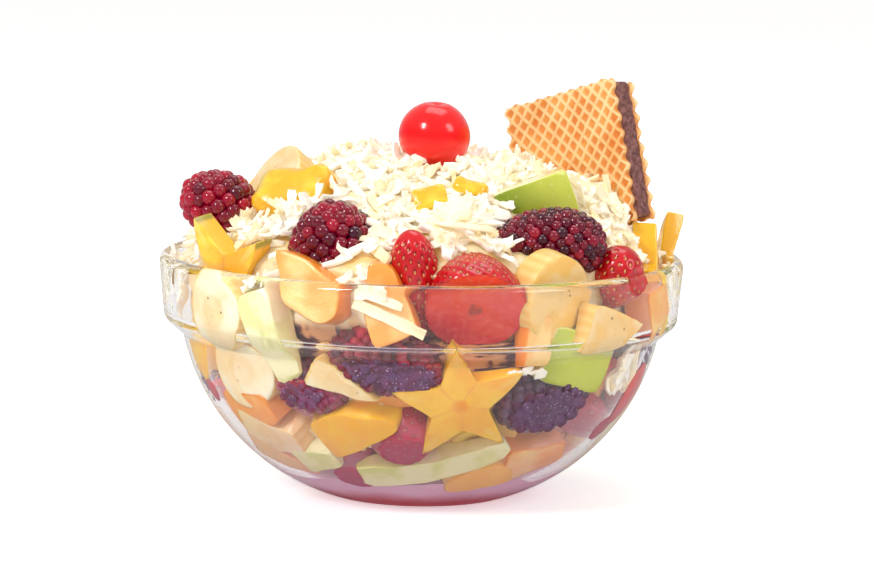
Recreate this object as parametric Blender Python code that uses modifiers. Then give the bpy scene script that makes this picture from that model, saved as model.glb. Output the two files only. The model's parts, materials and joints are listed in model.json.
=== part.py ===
"""Fruit salad heaped in a clear glass bowl, with large fruit, a wafer and a cherry on top.

Metres, +Z up. The origin is the middle of the bowl's foot, on the surface that it stands on.
-Y is the front. An azimuth turns from the front towards +X, and an elevation rises from level.
"""
import bpy
import bmesh
from math import acos, atan2, cos, hypot, pi, radians, sin, sqrt, tan
from mathutils import Euler, Matrix, Vector, noise
from mathutils.bvhtree import BVHTree

MM = 0.001
GAP = 0.4 * MM                    # between two pieces that touch
BED_ANGLE = 28                    # how coarse the hollow round a sunk piece is, in degrees
MERGE = 0.01 * MM

# The bowl
BOWL_RADIUS = 85.0 * MM
BOWL_HEIGHT = 78.0 * MM
BAND_EDGE_RADIUS = 83.4 * MM      # lower edge of the upright band round the rim
BAND_EDGE_HEIGHT = 57.3 * MM
NECK_RADIUS = 77.3 * MM           # where the band's shoulder meets the round body
NECK_HEIGHT = 52.0 * MM
FOOT_RADIUS = 30.0 * MM
BODY_ARC = 70.0 * MM              # radius of the body's curve from foot to neck
WALL = 3.4 * MM
FLOOR = 4.0 * MM
BAND_WALL = 3.8 * MM
SEGMENTS = 36

# The heap
HEAP_EDGE = 77.0 * MM             # where the fruit leaves the glass
HEAP_TOP = 111.0 * MM
HEAP_SLOPE = 2.2                  # higher is a flatter top with steeper sides
HEAP_UNEVEN = 4.0 * MM
HEAP_LUMP = 14.0 * MM
LEAN_OUT = 0.35                   # how much a piece may lean out over the rim, for each unit above it

# The wafer
WAFER_WIDTH = 52.0 * MM
WAFER_HEIGHT = 46.0 * MM
WAFER_SHEET = 1.5 * MM
WAFER_RELIEF = 0.45 * MM
CREAM_THICK = 4.8 * MM
CREAM_INSET = 1.6 * MM
WAFER_CELLS = 8
WAFER_WAVE = 0.012                # how far the baked edge waves in and out, as a share of the size

part = bpy.data.collections.new("fruit_salad_bowl")
cutters = bpy.data.collections.new("cutters")


# ---------------------------------------------------------------- common helpers

def clear_scene():
    for thing in list(bpy.data.objects):
        bpy.data.objects.remove(thing, do_unlink=True)
    bpy.context.scene.collection.children.link(part)
    bpy.context.scene.collection.children.link(cutters)


def finish_of(name, colour, roughness, clear=0.0):
    material = bpy.data.materials.new(name)
    material.use_nodes = True
    shader = material.node_tree.nodes["Principled BSDF"]
    shader.inputs["Base Color"].default_value = (*colour, 1.0)
    shader.inputs["Roughness"].default_value = roughness
    shader.inputs["Metallic"].default_value = 0.0
    shader.inputs["Transmission Weight"].default_value = clear
    return material


def new_piece(name, mesh, material, collection=part):
    piece = bpy.data.objects.new(name, mesh)
    mesh.materials.clear()
    mesh.materials.append(material)
    collection.objects.link(piece)
    return piece


def mesh_from(shape, name, smooth=True):
    bmesh.ops.recalc_face_normals(shape, faces=shape.faces)
    mesh = bpy.data.meshes.new(name)
    shape.to_mesh(mesh)
    shape.free()
    if smooth:
        mesh.shade_smooth()
        mesh.set_sharp_from_angle(angle=radians(50))
    return mesh


def freeze(piece):
    """apply a piece's modifiers, so that its points can be moved"""
    scene_state = bpy.context.evaluated_depsgraph_get()
    mesh = bpy.data.meshes.new_from_object(piece.evaluated_get(scene_state))
    piece.modifiers.clear()
    piece.data = mesh


def turned(name, outline, material):
    """a solid turned from an outline that runs from the axis to the axis"""
    mesh = bpy.data.meshes.new(name)
    points = [(radius, 0.0, height) for radius, height in outline]
    mesh.from_pydata(points, [(i, i + 1) for i in range(len(points) - 1)], [])
    piece = new_piece(name, mesh, material)
    screw = piece.modifiers.new("turn", "SCREW")
    screw.axis = "Z"
    screw.steps = SEGMENTS
    screw.render_steps = SEGMENTS
    screw.use_merge_vertices = True
    screw.merge_threshold = MERGE
    return piece


def fillet(before, corner, after, radius, steps):
    """points of an arc that rounds the corner between two straight runs"""
    start = (before - corner).normalized()
    end = (after - corner).normalized()
    half = start.angle(end) / 2
    middle = corner + (start + end).normalized() * (radius / sin(half))
    turn = pi - 2 * half
    first = corner + start * (radius / tan(half))
    spoke = first - middle
    side = 1 if start.cross(end) < 0 else -1
    points = []
    for i in range(steps + 1):
        angle = side * turn * i / steps
        points.append(middle + Vector((
            spoke.x * cos(angle) - spoke.y * sin(angle),
            spoke.x * sin(angle) + spoke.y * cos(angle),
        )))
    return points


def body_arc_middle():
    """centre of the round body's curve, through the foot's edge and the neck"""
    foot = Vector((FOOT_RADIUS, 0.0))
    neck = Vector((NECK_RADIUS, NECK_HEIGHT))
    chord = neck - foot
    rise = sqrt(BODY_ARC ** 2 - (chord.length / 2) ** 2)
    return (foot + neck) / 2 + Vector((-chord.y, chord.x)).normalized() * rise


def body_arc(radius, low, high, steps):
    """points up the body's curve, between two heights"""
    middle = body_arc_middle()
    first = acos((middle.y - low) / radius)
    last = acos((middle.y - high) / radius)
    angles = [first + (last - first) * i / steps for i in range(steps + 1)]
    return [middle + Vector((sin(a), -cos(a))) * radius for a in angles]


# ---------------------------------------------------------------- bowl and heap

def inside_of_bowl(clearance=0.0):
    """outline of the bowl's inner face from the floor up to just under the lip"""
    radius = BODY_ARC - WALL - clearance
    shoulder_low = Vector((NECK_RADIUS - 3.2 * MM, NECK_HEIGHT + 1.2 * MM))
    shoulder_high = Vector((BAND_EDGE_RADIUS - 3.4 * MM, BAND_EDGE_HEIGHT + 1.9 * MM))
    lip = Vector((BOWL_RADIUS - BAND_WALL, BOWL_HEIGHT))
    shift = Vector((-clearance, clearance * 0.4))
    arc = body_arc(radius, FLOOR + clearance, NECK_HEIGHT - 0.5 * MM, 5)
    lower = fillet(arc[-1], shoulder_low + shift, shoulder_high + shift, 1.5 * MM, 1)
    upper = fillet(shoulder_low + shift, shoulder_high + shift, lip + shift, 3.0 * MM, 1)
    return arc + lower + upper


def outside_of_bowl():
    """outline of the bowl's outer face from under the lip down to the foot's edge"""
    lip = Vector((BOWL_RADIUS, BOWL_HEIGHT))
    band_edge = Vector((BAND_EDGE_RADIUS, BAND_EDGE_HEIGHT))
    neck = Vector((NECK_RADIUS, NECK_HEIGHT))
    arc = body_arc(BODY_ARC, 0.0, NECK_HEIGHT - 1.0 * MM, 6)
    edge = fillet(lip, band_edge, neck, 3.0 * MM, 2)
    return edge + fillet(band_edge, neck, arc[-1], 1.2 * MM, 1) + arc[::-1]


def lip_of_bowl():
    inner = Vector((BOWL_RADIUS - BAND_WALL, BOWL_HEIGHT))
    outer = Vector((BOWL_RADIUS, BOWL_HEIGHT))
    below = Vector((0.0, -BOWL_HEIGHT))
    rise = fillet(inner + below, inner, outer, 1.7 * MM, 2)
    return rise + fillet(inner, outer, outer + below, 1.7 * MM, 2)


def make_bowl():
    glass = finish_of("bowl_glass", (0.93, 0.94, 0.96), 0.02, clear=1.0)
    inner = [Vector((0.0, FLOOR)), *inside_of_bowl()]
    outer = [*outside_of_bowl(), Vector((0.0, 0.0))]
    outline = [*inner, *lip_of_bowl(), *outer]
    bowl = turned("bowl", outline, glass)
    freeze(bowl)
    bowl.data.shade_smooth()
    bowl.data.set_sharp_from_angle(angle=radians(40))


def glass_limit(height):
    """how far from the axis a piece may reach, so that it lies against the glass"""
    middle = body_arc_middle()
    if height <= NECK_HEIGHT:
        reach = BODY_ARC - WALL
        drop = min(reach, middle.y - height)
        return middle.x + sqrt(max(0.0, reach ** 2 - drop ** 2)) - 2 * GAP
    lean = (BAND_EDGE_RADIUS - NECK_RADIUS) / (BOWL_HEIGHT - NECK_HEIGHT)
    over = max(0.0, height - BOWL_HEIGHT)
    return glass_limit(NECK_HEIGHT) + (min(height, BOWL_HEIGHT) - NECK_HEIGHT) * lean + over * LEAN_OUT


def mound_height(x, y):
    """height of the smooth mound over a point of the bowl"""
    far = min(1.0, hypot(x, y) / (BOWL_RADIUS - BAND_WALL))
    return HEAP_EDGE + (HEAP_TOP - HEAP_EDGE) * (1 - far ** HEAP_SLOPE)


def make_heap():
    """the loose fruit and grated cheese, as one solid out to its uneven outline"""
    cheese = finish_of("salad_heap", (0.93, 0.86, 0.70), 0.55)
    wall = inside_of_bowl(GAP)
    edge = Vector((BOWL_RADIUS - BAND_WALL - GAP, HEAP_EDGE))
    rings = [edge.x * share for share in (0.0, 0.15, 0.30, 0.46, 0.62, 0.78, 0.91)]
    mound = [Vector((radius, mound_height(radius, 0.0))) for radius in rings]
    outline = [*mound, edge, *wall[::-1], Vector((0.0, FLOOR + GAP))]
    heap = turned("salad_heap", outline, cheese)
    freeze(heap)
    for point in heap.data.vertices:
        if point.co.z > HEAP_EDGE:
            here = Vector((point.co.x, point.co.y, 0.0)) / HEAP_LUMP
            lump = noise.noise(here) + 0.4 * noise.noise(here * 2.3)
            fade = min(1.0, (point.co.z - HEAP_EDGE) / (6 * MM))
            point.co.z += lump * HEAP_UNEVEN * fade
    return heap


# ---------------------------------------------------------------- placing a topping

def facing(azimuth, elevation, spin=0.0):
    """turn a piece so that its own +Z looks along an azimuth and an elevation"""
    level = radians(90 - elevation)
    return Euler((0, 0, radians(azimuth))).to_matrix() @ Euler((level, 0, 0)).to_matrix() \
        @ Euler((0, 0, radians(spin))).to_matrix()


def set_down(piece, place, azimuth, elevation, spin=0.0):
    """move a piece to its place in millimetres, and press it flat where it meets the glass"""
    move = Matrix.Translation(Vector(place) * MM) @ facing(azimuth, elevation, spin).to_4x4()
    back = move.inverted()
    for point in piece.data.vertices:
        spot = move @ point.co
        away = hypot(spot.x, spot.y)
        limit = glass_limit(spot.z)
        if away > limit:
            spot.x *= limit / away
            spot.y *= limit / away
            point.co = back @ spot
    piece.matrix_world = move
    return piece


def cut_flat(shape, through, looks):
    """slice a solid and close it, keeping what lies behind the cut face"""
    everything = shape.verts[:] + shape.edges[:] + shape.faces[:]
    cut = bmesh.ops.bisect_plane(
        shape, geom=everything, dist=MERGE, plane_co=through, plane_no=looks, clear_outer=True)
    rim = [item for item in cut["geom_cut"] if isinstance(item, bmesh.types.BMEdge)]
    bmesh.ops.edgeloop_fill(shape, edges=rim)


# ---------------------------------------------------------------- toppings

def cherry_mesh(width):
    """a pitted glazed cherry, a little flattened, with the dimple of its stalk"""
    shape = bmesh.new()
    bmesh.ops.create_uvsphere(shape, u_segments=16, v_segments=10, radius=width / 2)
    for point in shape.verts:
        away = hypot(point.co.x, point.co.y)
        if point.co.z > 0:
            dimple = max(0.0, 1 - away / (0.16 * width))
            point.co.z -= dimple ** 2 * 0.10 * width
        point.co.z *= 0.96
    return mesh_from(shape, "cherry")


def bramble_mesh(length, width, taper):
    """a bramble: round drupelets packed in rings, smaller towards the tip at +Z"""
    across, along = 16, 9
    shape = bmesh.new()
    bmesh.ops.create_uvsphere(shape, u_segments=across, v_segments=along, radius=1.0)
    for point in shape.verts:
        turn = round((atan2(point.co.y, point.co.x) + pi) / (2 * pi) * across)
        ring = round(acos(max(-1, min(1, point.co.z))) / pi * along)
        swell = 1.07 if (turn + ring) % 2 else 0.90
        if ring in (0, along):
            swell = 1.0
        narrow = 1 - taper * (point.co.z + 1) / 2
        point.co.x *= width / 2 * swell * narrow
        point.co.y *= width / 2 * swell * narrow
        point.co.z *= length / 2 * (swell + 1) / 2
    bmesh.ops.triangulate(shape, faces=shape.faces, quad_method="SHORT_EDGE")
    return mesh_from(shape, "bramble")


def strawberry_mesh(length, width, cut=None):
    """a strawberry with its tip at -Z; a cut across or along it leaves a flat face at +Z"""
    shape = bmesh.new()
    bmesh.ops.create_uvsphere(shape, u_segments=16, v_segments=9, radius=1.0)
    for point in shape.verts:
        height = point.co.z
        girth = 1.0 - 0.20 * (0.6 - height) ** 2 if height < 0.6 else 1.0
        around = width / 2 * girth
        point.co = Vector((point.co.x * around, point.co.y * around, height * length / 2))
    if cut == "across":
        cut_flat(shape, (0, 0, 0.12 * length), (0, 0, 1))
    if cut == "along":
        bmesh.ops.rotate(shape, verts=shape.verts, matrix=Matrix.Rotation(radians(90), 3, "Y"))
        cut_flat(shape, (0, 0, 0), (0, 0, 1))
    return mesh_from(shape, "strawberry")


def banana_mesh(width, thick):
    """a peeled banana slice: a disc with three faint corners and soft edges"""
    shape = bmesh.new()
    bmesh.ops.create_cone(
        shape, cap_ends=True, segments=18, radius1=width / 2, radius2=width / 2, depth=thick)
    for point in shape.verts:
        corner = 1 + 0.035 * cos(3 * atan2(point.co.y, point.co.x))
        point.co.x *= corner
        point.co.y *= corner * 0.94
    rims = [edge for edge in shape.edges if abs(edge.verts[0].co.z - edge.verts[1].co.z) < MERGE]
    bmesh.ops.bevel(shape, geom=rims, offset=0.9 * MM, segments=1, affect="EDGES", profile=0.5)
    return mesh_from(shape, "banana")


def chunk_mesh(length, width, thick, narrow, bow):
    """a cut chunk of soft fruit: narrower towards +X, and bowed like the fruit that it came from"""
    shape = bmesh.new()
    bmesh.ops.create_cube(shape, size=1.0)
    bmesh.ops.subdivide_edges(shape, edges=shape.edges[:], cuts=1, use_grid_fill=True)
    for point in shape.verts:
        x, y, z = point.co
        shrink = 1 - narrow * (x + 0.5)
        drop = bow * (x * x + y * y) * 4
        point.co = Vector((x * length, y * width * shrink, z * thick * shrink - drop))
    box_edges = [edge for edge in shape.edges if edge.calc_face_angle(0) > radians(50)]
    bmesh.ops.bevel(shape, geom=box_edges, offset=1.1 * MM, segments=1, affect="EDGES", profile=0.5)
    return mesh_from(shape, "chunk")


def star_mesh(width, thick):
    """a starfruit slice: five rounded arms with valleys between them"""
    shape = bmesh.new()
    bmesh.ops.create_cone(
        shape, cap_ends=True, segments=30, radius1=width / 2, radius2=width / 2, depth=thick)
    for point in shape.verts:
        turn = atan2(point.co.y, point.co.x)
        arm = ((cos(5 * turn) + 1) / 2) ** 0.8
        reach = 0.44 + 0.56 * arm
        point.co.x *= reach
        point.co.y *= reach
    faces = [face for face in shape.faces if len(face.verts) > 4]
    bmesh.ops.poke(shape, faces=faces)
    return mesh_from(shape, "star", smooth=False)


def apple_mesh(fruit_width, length, tall, deep):
    """a chunk of apple: skin on its round back at +Z, and flat cuts on every other side"""
    shape = bmesh.new()
    bmesh.ops.create_uvsphere(shape, u_segments=32, v_segments=20, radius=fruit_width / 2)
    skin = fruit_width / 2
    half = atan2(tall / 2, skin)
    for side in (-1, 1):
        cut_flat(shape, (0, 0, 0), (0, side * cos(half), -sin(half)))
        cut_flat(shape, (side * length / 2, 0, 0), (side, 0, 0))
    cut_flat(shape, (0, 0, skin - deep), (0, 0, -1))
    bmesh.ops.translate(shape, verts=shape.verts, vec=(0, 0, deep / 2 - skin))
    return mesh_from(shape, "apple")


def box_mesh(size, soft):
    """a box with soft edges"""
    shape = bmesh.new()
    bmesh.ops.create_cube(shape, size=1.0)
    bmesh.ops.scale(shape, verts=shape.verts, vec=size)
    bmesh.ops.bevel(shape, geom=shape.edges[:], offset=soft, segments=2, affect="EDGES", profile=0.5)
    return mesh_from(shape, "box")


def sheet_mesh():
    """a baked sheet of the wafer, standing in its own XZ plane, with a lattice pressed into it"""
    shape = bmesh.new()
    bmesh.ops.create_grid(shape, x_segments=WAFER_CELLS, y_segments=WAFER_CELLS, size=0.5)
    for point in shape.verts:
        column = round((point.co.x + 0.5) * WAFER_CELLS)
        row = round((point.co.y + 0.5) * WAFER_CELLS)
        raised = 1 if (column + row) % 2 else -1
        pull = 1 + (WAFER_WAVE * raised if column in (0, WAFER_CELLS) or row in (0, WAFER_CELLS) else 0)
        point.co = Vector((
            point.co.x * WAFER_WIDTH * pull,
            raised * WAFER_RELIEF,
            point.co.y * WAFER_HEIGHT * pull,
        ))
    return mesh_from(shape, "sheet", smooth=False)


def make_wafer(place, azimuth, tilt):
    """two baked sheets with a thick layer of chocolate cream between them"""
    baked = finish_of("wafer_baked", (0.86, 0.55, 0.26), 0.6)
    chocolate = finish_of("chocolate_cream", (0.20, 0.09, 0.07), 0.5)
    stand = Matrix.Translation(Vector(place) * MM) @ Matrix.Rotation(radians(azimuth), 4, "Z") \
        @ Matrix.Rotation(radians(-tilt), 4, "Y")
    apart = CREAM_THICK / 2 + WAFER_SHEET / 2 + WAFER_RELIEF + GAP
    for name, side in (("wafer_sheet_front", -1), ("wafer_sheet_back", 1)):
        sheet = new_piece(name, sheet_mesh(), baked)
        solid = sheet.modifiers.new("thickness", "SOLIDIFY")
        solid.thickness = WAFER_SHEET
        solid.offset = 0.0
        freeze(sheet)
        sheet.matrix_world = stand @ Matrix.Translation((0, side * apart, 0))
    cream_size = (WAFER_WIDTH - 2 * CREAM_INSET, CREAM_THICK, WAFER_HEIGHT - 2 * CREAM_INSET)
    cream = new_piece("wafer_cream", box_mesh(cream_size, 0.8 * MM), chocolate)
    cream.matrix_world = stand
    thick = 2 * (apart + WAFER_RELIEF + GAP) + WAFER_SHEET
    bed_size = (WAFER_WIDTH * (1 + WAFER_WAVE) + 2 * GAP, thick, WAFER_HEIGHT * (1 + WAFER_WAVE) + 2 * GAP)
    bed = as_cutter(new_piece("bed_wafer", box_mesh(bed_size, 0.3 * MM), baked, cutters))
    bed.matrix_world = stand
    return bed


def make_toppings():
    """every large piece that shows above the heap: its place, where it faces, and its spin"""
    red = finish_of("cherry_red", (0.75, 0.02, 0.02), 0.12)
    dark = finish_of("bramble_dark", (0.17, 0.01, 0.04), 0.22)
    berry = finish_of("strawberry_red", (0.62, 0.03, 0.03), 0.30)
    banana = finish_of("banana_flesh", (0.90, 0.66, 0.32), 0.45)
    mango = finish_of("mango_flesh", (0.95, 0.55, 0.03), 0.35)
    papaya = finish_of("papaya_flesh", (0.93, 0.48, 0.16), 0.40)
    apple = finish_of("apple_green", (0.62, 0.70, 0.14), 0.30)
    star = finish_of("starfruit_yellow", (0.93, 0.68, 0.04), 0.32)
    placed = []

    def top(name, mesh, material, place, azimuth, elevation, spin=0.0):
        placed.append(set_down(new_piece(name, mesh, material), place, azimuth, elevation, spin))

    top("cherry", cherry_mesh(23.2 * MM), red, (3.5, -4, 116.6), 30, 82)
    top("strawberry_front", strawberry_mesh(38 * MM, 32.5 * MM, "across"), berry, (16, -65, 71.5), -2, -30)
    top("banana_right", banana_mesh(27 * MM, 9 * MM), banana, (37.5, -60, 73.5), 45, -10)
    wide_wedge = chunk_mesh(26 * MM, 23 * MM, 11 * MM, 0.35, 0.8 * MM)
    top("papaya_left", wide_wedge, papaya, (-31.5, -69, 73.5), -22, 6, -48)
    slim_wedge = chunk_mesh(27 * MM, 18 * MM, 9 * MM, 0.55, 0.6 * MM)
    top("papaya_centre", slim_wedge, papaya, (-6, -74, 70.5), -5, 4, -84)
    top("starfruit_left", star_mesh(45 * MM, 8 * MM), star, (-60, -38, 78), -42, 14, 52)

    top("bramble_front", bramble_mesh(24 * MM, 30 * MM, 0.34), dark, (-27.8, -52, 89.5), -15, 66)
    top("bramble_right", bramble_mesh(34 * MM, 24 * MM, 0.32), dark, (41, -47, 87.5), -72, 6)
    top("bramble_left", bramble_mesh(25 * MM, 22 * MM, 0.20), dark, (-65.5, -12, 96.5), -75, 35)
    top("bramble_back", bramble_mesh(28 * MM, 23 * MM, 0.30), dark, (-20, 57, 93), 200, 30)

    top("strawberry_centre", strawberry_mesh(24 * MM, 16 * MM), berry, (-1, -58, 84), -10, 60)
    top("strawberry_right", strawberry_mesh(25 * MM, 20 * MM), berry, (62.5, -43, 76), 60, 70)
    top("strawberry_back", strawberry_mesh(34 * MM, 27 * MM, "along"), berry, (27, 50, 93), 160, 50, 40)

    top("starfruit_right", star_mesh(43 * MM, 6 * MM), star, (73.5, -20, 72), 90, 2, 90)
    top("starfruit_side", star_mesh(43 * MM, 6 * MM), star, (80, 10, 72.5), 98, -12, 90)
    top("starfruit_back", star_mesh(42 * MM, 7 * MM), star, (56, 45, 82), 128, 34, 0)

    finger = chunk_mesh(26 * MM, 13 * MM, 10 * MM, 0.25, 1.2 * MM)
    top("mango_left", finger, mango, (-41, -25, 101), -35, 50, 10)
    cube = chunk_mesh(26 * MM, 17 * MM, 12 * MM, 0.20, 1.0 * MM)
    top("mango_back", cube, mango, (-52, 30, 92), 240, 45, 70)
    top("apple_top", apple_mesh(70 * MM, 26 * MM, 14 * MM, 12 * MM), apple, (37.5, -31, 99), 16, 18, 20)
    top("banana_left", banana_mesh(25 * MM, 8 * MM), banana, (-46, -3, 100), -60, 38)
    top("banana_back", banana_mesh(28 * MM, 8 * MM), banana, (2, 68, 84), 178, 42)
    return placed


def hull_of(spots):
    """the convex hull of some points"""
    shape = bmesh.new()
    for spot in spots:
        shape.verts.new(spot)
    hull = bmesh.ops.convex_hull(shape, input=shape.verts)
    inside = [item for item in hull["geom_interior"] if isinstance(item, bmesh.types.BMVert)]
    bmesh.ops.delete(shape, geom=inside, context="VERTS")
    bmesh.ops.recalc_face_normals(shape, faces=shape.faces)
    if shape.calc_volume(signed=True) < 0:
        bmesh.ops.reverse_faces(shape, faces=shape.faces)
    shape.normal_update()
    return shape


def as_cutter(bed):
    bed.hide_render = True
    bed.display_type = "WIRE"
    return bed


def bed_round(piece, material):
    """a coarse hull round a piece, a little larger than it is"""
    spots = [piece.matrix_world @ point.co for point in piece.data.vertices]
    fine = hull_of(spots)
    bmesh.ops.dissolve_limit(fine, angle_limit=radians(BED_ANGLE), verts=fine.verts, edges=fine.edges)
    shape = hull_of([point.co.copy() for point in fine.verts])
    fine.free()
    proud = max(face.normal.dot(spot - face.verts[0].co) for face in shape.faces for spot in spots)
    for point in shape.verts:
        point.co += point.normal * (max(0.0, proud) + GAP) * point.calc_shell_factor()
    return as_cutter(new_piece("bed_" + piece.name, mesh_from(shape, "bed"), material, cutters))


def crosses(piece, bed):
    """whether the surfaces of two pieces cross"""
    trees = []
    for thing in (piece, bed):
        shape = bmesh.new()
        shape.from_mesh(thing.data)
        shape.transform(thing.matrix_world)
        trees.append(BVHTree.FromBMesh(shape))
        shape.free()
    return bool(trees[0].overlap(trees[1]))


def hollow(piece, beds):
    """cut every bed that it crosses out of a piece; the hulls cross each other, so the solver is MANIFOLD"""
    for bed in beds:
        if crosses(piece, bed):
            cut = piece.modifiers.new(bed.name, "BOOLEAN")
            cut.operation = "DIFFERENCE"
            cut.object = bed
            cut.solver = "MANIFOLD"
    if piece.modifiers:
        freeze(piece)
        keep_largest(piece)


def bed_pieces(heap, wafer_bed, toppings):
    """fit each topping against those set before it, and sink them all in the heap"""
    guide = finish_of("cutter", (0.5, 0.5, 0.5), 0.5)
    bpy.context.view_layer.update()
    beds = [wafer_bed]
    for piece in toppings:
        hollow(piece, beds)
        beds.append(bed_round(piece, guide))
    hollow(heap, beds)


def keep_largest(piece):
    """drop the crumbs that a cut leaves, so that one body stays"""
    shape = bmesh.new()
    shape.from_mesh(piece.data)
    groups = []
    unseen = set(shape.verts)
    while unseen:
        seed = unseen.pop()
        group, edge_of_group = {seed}, [seed]
        while edge_of_group:
            point = edge_of_group.pop()
            for edge in point.link_edges:
                other = edge.other_vert(point)
                if other in unseen:
                    unseen.discard(other)
                    group.add(other)
                    edge_of_group.append(other)
        groups.append(group)
    groups.sort(key=len)
    for group in groups[:-1]:
        bmesh.ops.delete(shape, geom=list(group), context="VERTS")
    shape.to_mesh(piece.data)
    shape.free()


clear_scene()
make_bowl()
salad_heap = make_heap()
wafer_space = make_wafer(place=(50.7, 4, 108), azimuth=-47.5, tilt=15.3)
topping_pieces = make_toppings()
bed_pieces(salad_heap, wafer_space, topping_pieces)
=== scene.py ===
# %% [markdown]
# # Fruit salad heaped in a clear glass bowl
#
# The bowl is full of cut fruit, white cheese is grated over the top, and berries, fruit slices,
# a glazed cherry and a filled wafer lie on it. The construction is already there: each large
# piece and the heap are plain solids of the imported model. This file gives every one of them its
# real form and finish, and puts the loose fruit where the heap's solid was.
#
# Sizes are in millimetres and turned into metres where a mesh is made. -Y is the front, an
# azimuth turns from the front towards +X, and an elevation rises from level.

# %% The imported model
import json
from math import cos, degrees, hypot, pi, radians, sin, sqrt, tan

import bpy
import numpy as np
from mathutils import Matrix, Vector, noise
from mathutils.bvhtree import BVHTree

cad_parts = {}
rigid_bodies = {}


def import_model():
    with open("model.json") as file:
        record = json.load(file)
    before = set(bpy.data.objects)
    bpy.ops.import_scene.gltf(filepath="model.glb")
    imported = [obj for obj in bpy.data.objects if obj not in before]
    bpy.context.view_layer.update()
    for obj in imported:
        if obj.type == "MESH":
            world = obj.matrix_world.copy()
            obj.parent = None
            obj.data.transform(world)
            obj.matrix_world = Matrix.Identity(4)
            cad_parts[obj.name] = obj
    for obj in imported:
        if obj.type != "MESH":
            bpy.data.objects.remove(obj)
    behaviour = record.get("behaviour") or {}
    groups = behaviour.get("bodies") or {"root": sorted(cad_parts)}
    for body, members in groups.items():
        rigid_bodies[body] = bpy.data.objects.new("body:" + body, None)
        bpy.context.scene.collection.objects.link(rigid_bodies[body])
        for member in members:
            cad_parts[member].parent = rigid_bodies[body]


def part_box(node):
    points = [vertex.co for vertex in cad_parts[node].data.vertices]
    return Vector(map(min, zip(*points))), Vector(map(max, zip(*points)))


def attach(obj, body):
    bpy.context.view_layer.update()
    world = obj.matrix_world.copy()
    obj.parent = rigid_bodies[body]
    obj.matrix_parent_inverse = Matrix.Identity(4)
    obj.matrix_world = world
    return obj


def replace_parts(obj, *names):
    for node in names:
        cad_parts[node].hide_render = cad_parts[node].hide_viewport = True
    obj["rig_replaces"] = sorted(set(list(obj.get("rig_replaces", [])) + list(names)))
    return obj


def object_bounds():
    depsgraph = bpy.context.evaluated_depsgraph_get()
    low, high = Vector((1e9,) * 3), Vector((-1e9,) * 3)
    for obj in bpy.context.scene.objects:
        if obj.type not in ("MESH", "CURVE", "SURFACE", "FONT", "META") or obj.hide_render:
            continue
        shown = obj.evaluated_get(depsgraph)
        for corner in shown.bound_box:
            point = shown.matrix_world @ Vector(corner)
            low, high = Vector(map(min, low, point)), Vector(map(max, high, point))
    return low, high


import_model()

cad_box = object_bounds()
MM = 0.001
NOISE_SEED = 4
noise.seed_set(NOISE_SEED)
print("the packed model is", [round(side / MM, 1) for side in Vector(cad_box[1]) - Vector(cad_box[0])], "mm")

# %% [markdown]
# ## Camera
#
# A long lens from a little above the rim. It keeps the rim a slim ellipse and shows the fruit
# through the glass and on the heap at once. The aim is close to the middle of the whole.

# %% The camera
LENS = 151.8
DISTANCE = 1.2
CAMERA_DOWN = radians(7.55)
CAMERA_ROLL = radians(1.0)

height = cad_box[1][2]
aim = Vector((5.2 * MM, 0.0, 0.479 * height))
camera = bpy.data.objects.new("camera", bpy.data.cameras.new("camera"))
bpy.context.scene.collection.objects.link(camera)
camera.data.lens = LENS
camera.data.clip_end = 50.0
camera.location = aim + Vector((0.0, -cos(CAMERA_DOWN), sin(CAMERA_DOWN))) * DISTANCE
tilt = Matrix.Rotation(pi / 2 - CAMERA_DOWN, 4, "X") @ Matrix.Rotation(CAMERA_ROLL, 4, "Z")
camera.rotation_euler = tilt.to_euler()
bpy.context.scene.camera = camera
print("camera at", [round(value, 3) for value in camera.location])

# %% [markdown]
# ## Short words for shader trees
#
# Every finish and the surround are trees of nodes. These few words add a node, mix two colours
# and rescale a value, and each gives back the socket that comes out, so that a tree reads as a
# sum does.

# %% Helpers for node trees
def srgb(red, green, blue):
    """a colour as a paint chart gives it, from 0 to 255, as the linear light that a shader takes"""
    linear = []
    for value in (red, green, blue):
        share = value / 255
        linear.append(share / 12.92 if share <= 0.04045 else ((share + 0.055) / 1.055) ** 2.4)
    return (*linear, 1.0)


def add(tree, kind, **settings):
    """add a node; a setting whose name is an input's sets that input, and others are the node's own"""
    node = tree.nodes.new("ShaderNode" + kind)
    for name, value in settings.items():
        label = name.replace("_", " ")
        if hasattr(node, name):
            setattr(node, name, value)
        else:
            node.inputs[label].default_value = value
    return node


def attribute(tree, name):
    return add(tree, "Attribute", attribute_name=name)


def blend(tree, factor, first, second, mode="MIX"):
    """mix two colours; each of the three is a socket or a plain value"""
    node = add(tree, "Mix", data_type="RGBA", blend_type=mode)
    for slot, value in ((0, factor), (6, first), (7, second)):
        if isinstance(value, bpy.types.NodeSocket):
            tree.links.new(value, node.inputs[slot])
        else:
            node.inputs[slot].default_value = value
    return node.outputs[2]


def calc(tree, operation, first, second=0.0, third=0.0):
    node = add(tree, "Math", operation=operation)
    for slot, value in enumerate((first, second, third)):
        if isinstance(value, bpy.types.NodeSocket):
            tree.links.new(value, node.inputs[slot])
        else:
            node.inputs[slot].default_value = value
    return node.outputs[0]


def ramp(tree, value, low, high, to_low=0.0, to_high=1.0):
    """a value rescaled from one range to another, with a smooth start and end"""
    node = add(tree, "MapRange", interpolation_type="SMOOTHSTEP")
    for label, number in (("From Min", low), ("From Max", high), ("To Min", to_low), ("To Max", to_high)):
        if isinstance(number, bpy.types.NodeSocket):
            tree.links.new(number, node.inputs[label])
        else:
            node.inputs[label].default_value = number
    tree.links.new(value, node.inputs["Value"])
    return node.outputs["Result"]


def noise_of(tree, vector, scale, detail=3.0, rough=0.5):
    node = add(tree, "TexNoise", Scale=scale, Detail=detail, Roughness=rough)
    tree.links.new(vector, node.inputs["Vector"])
    return node.outputs["Fac"]


print("orange flesh in linear light:", [round(value, 2) for value in srgb(250, 168, 18)])

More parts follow.
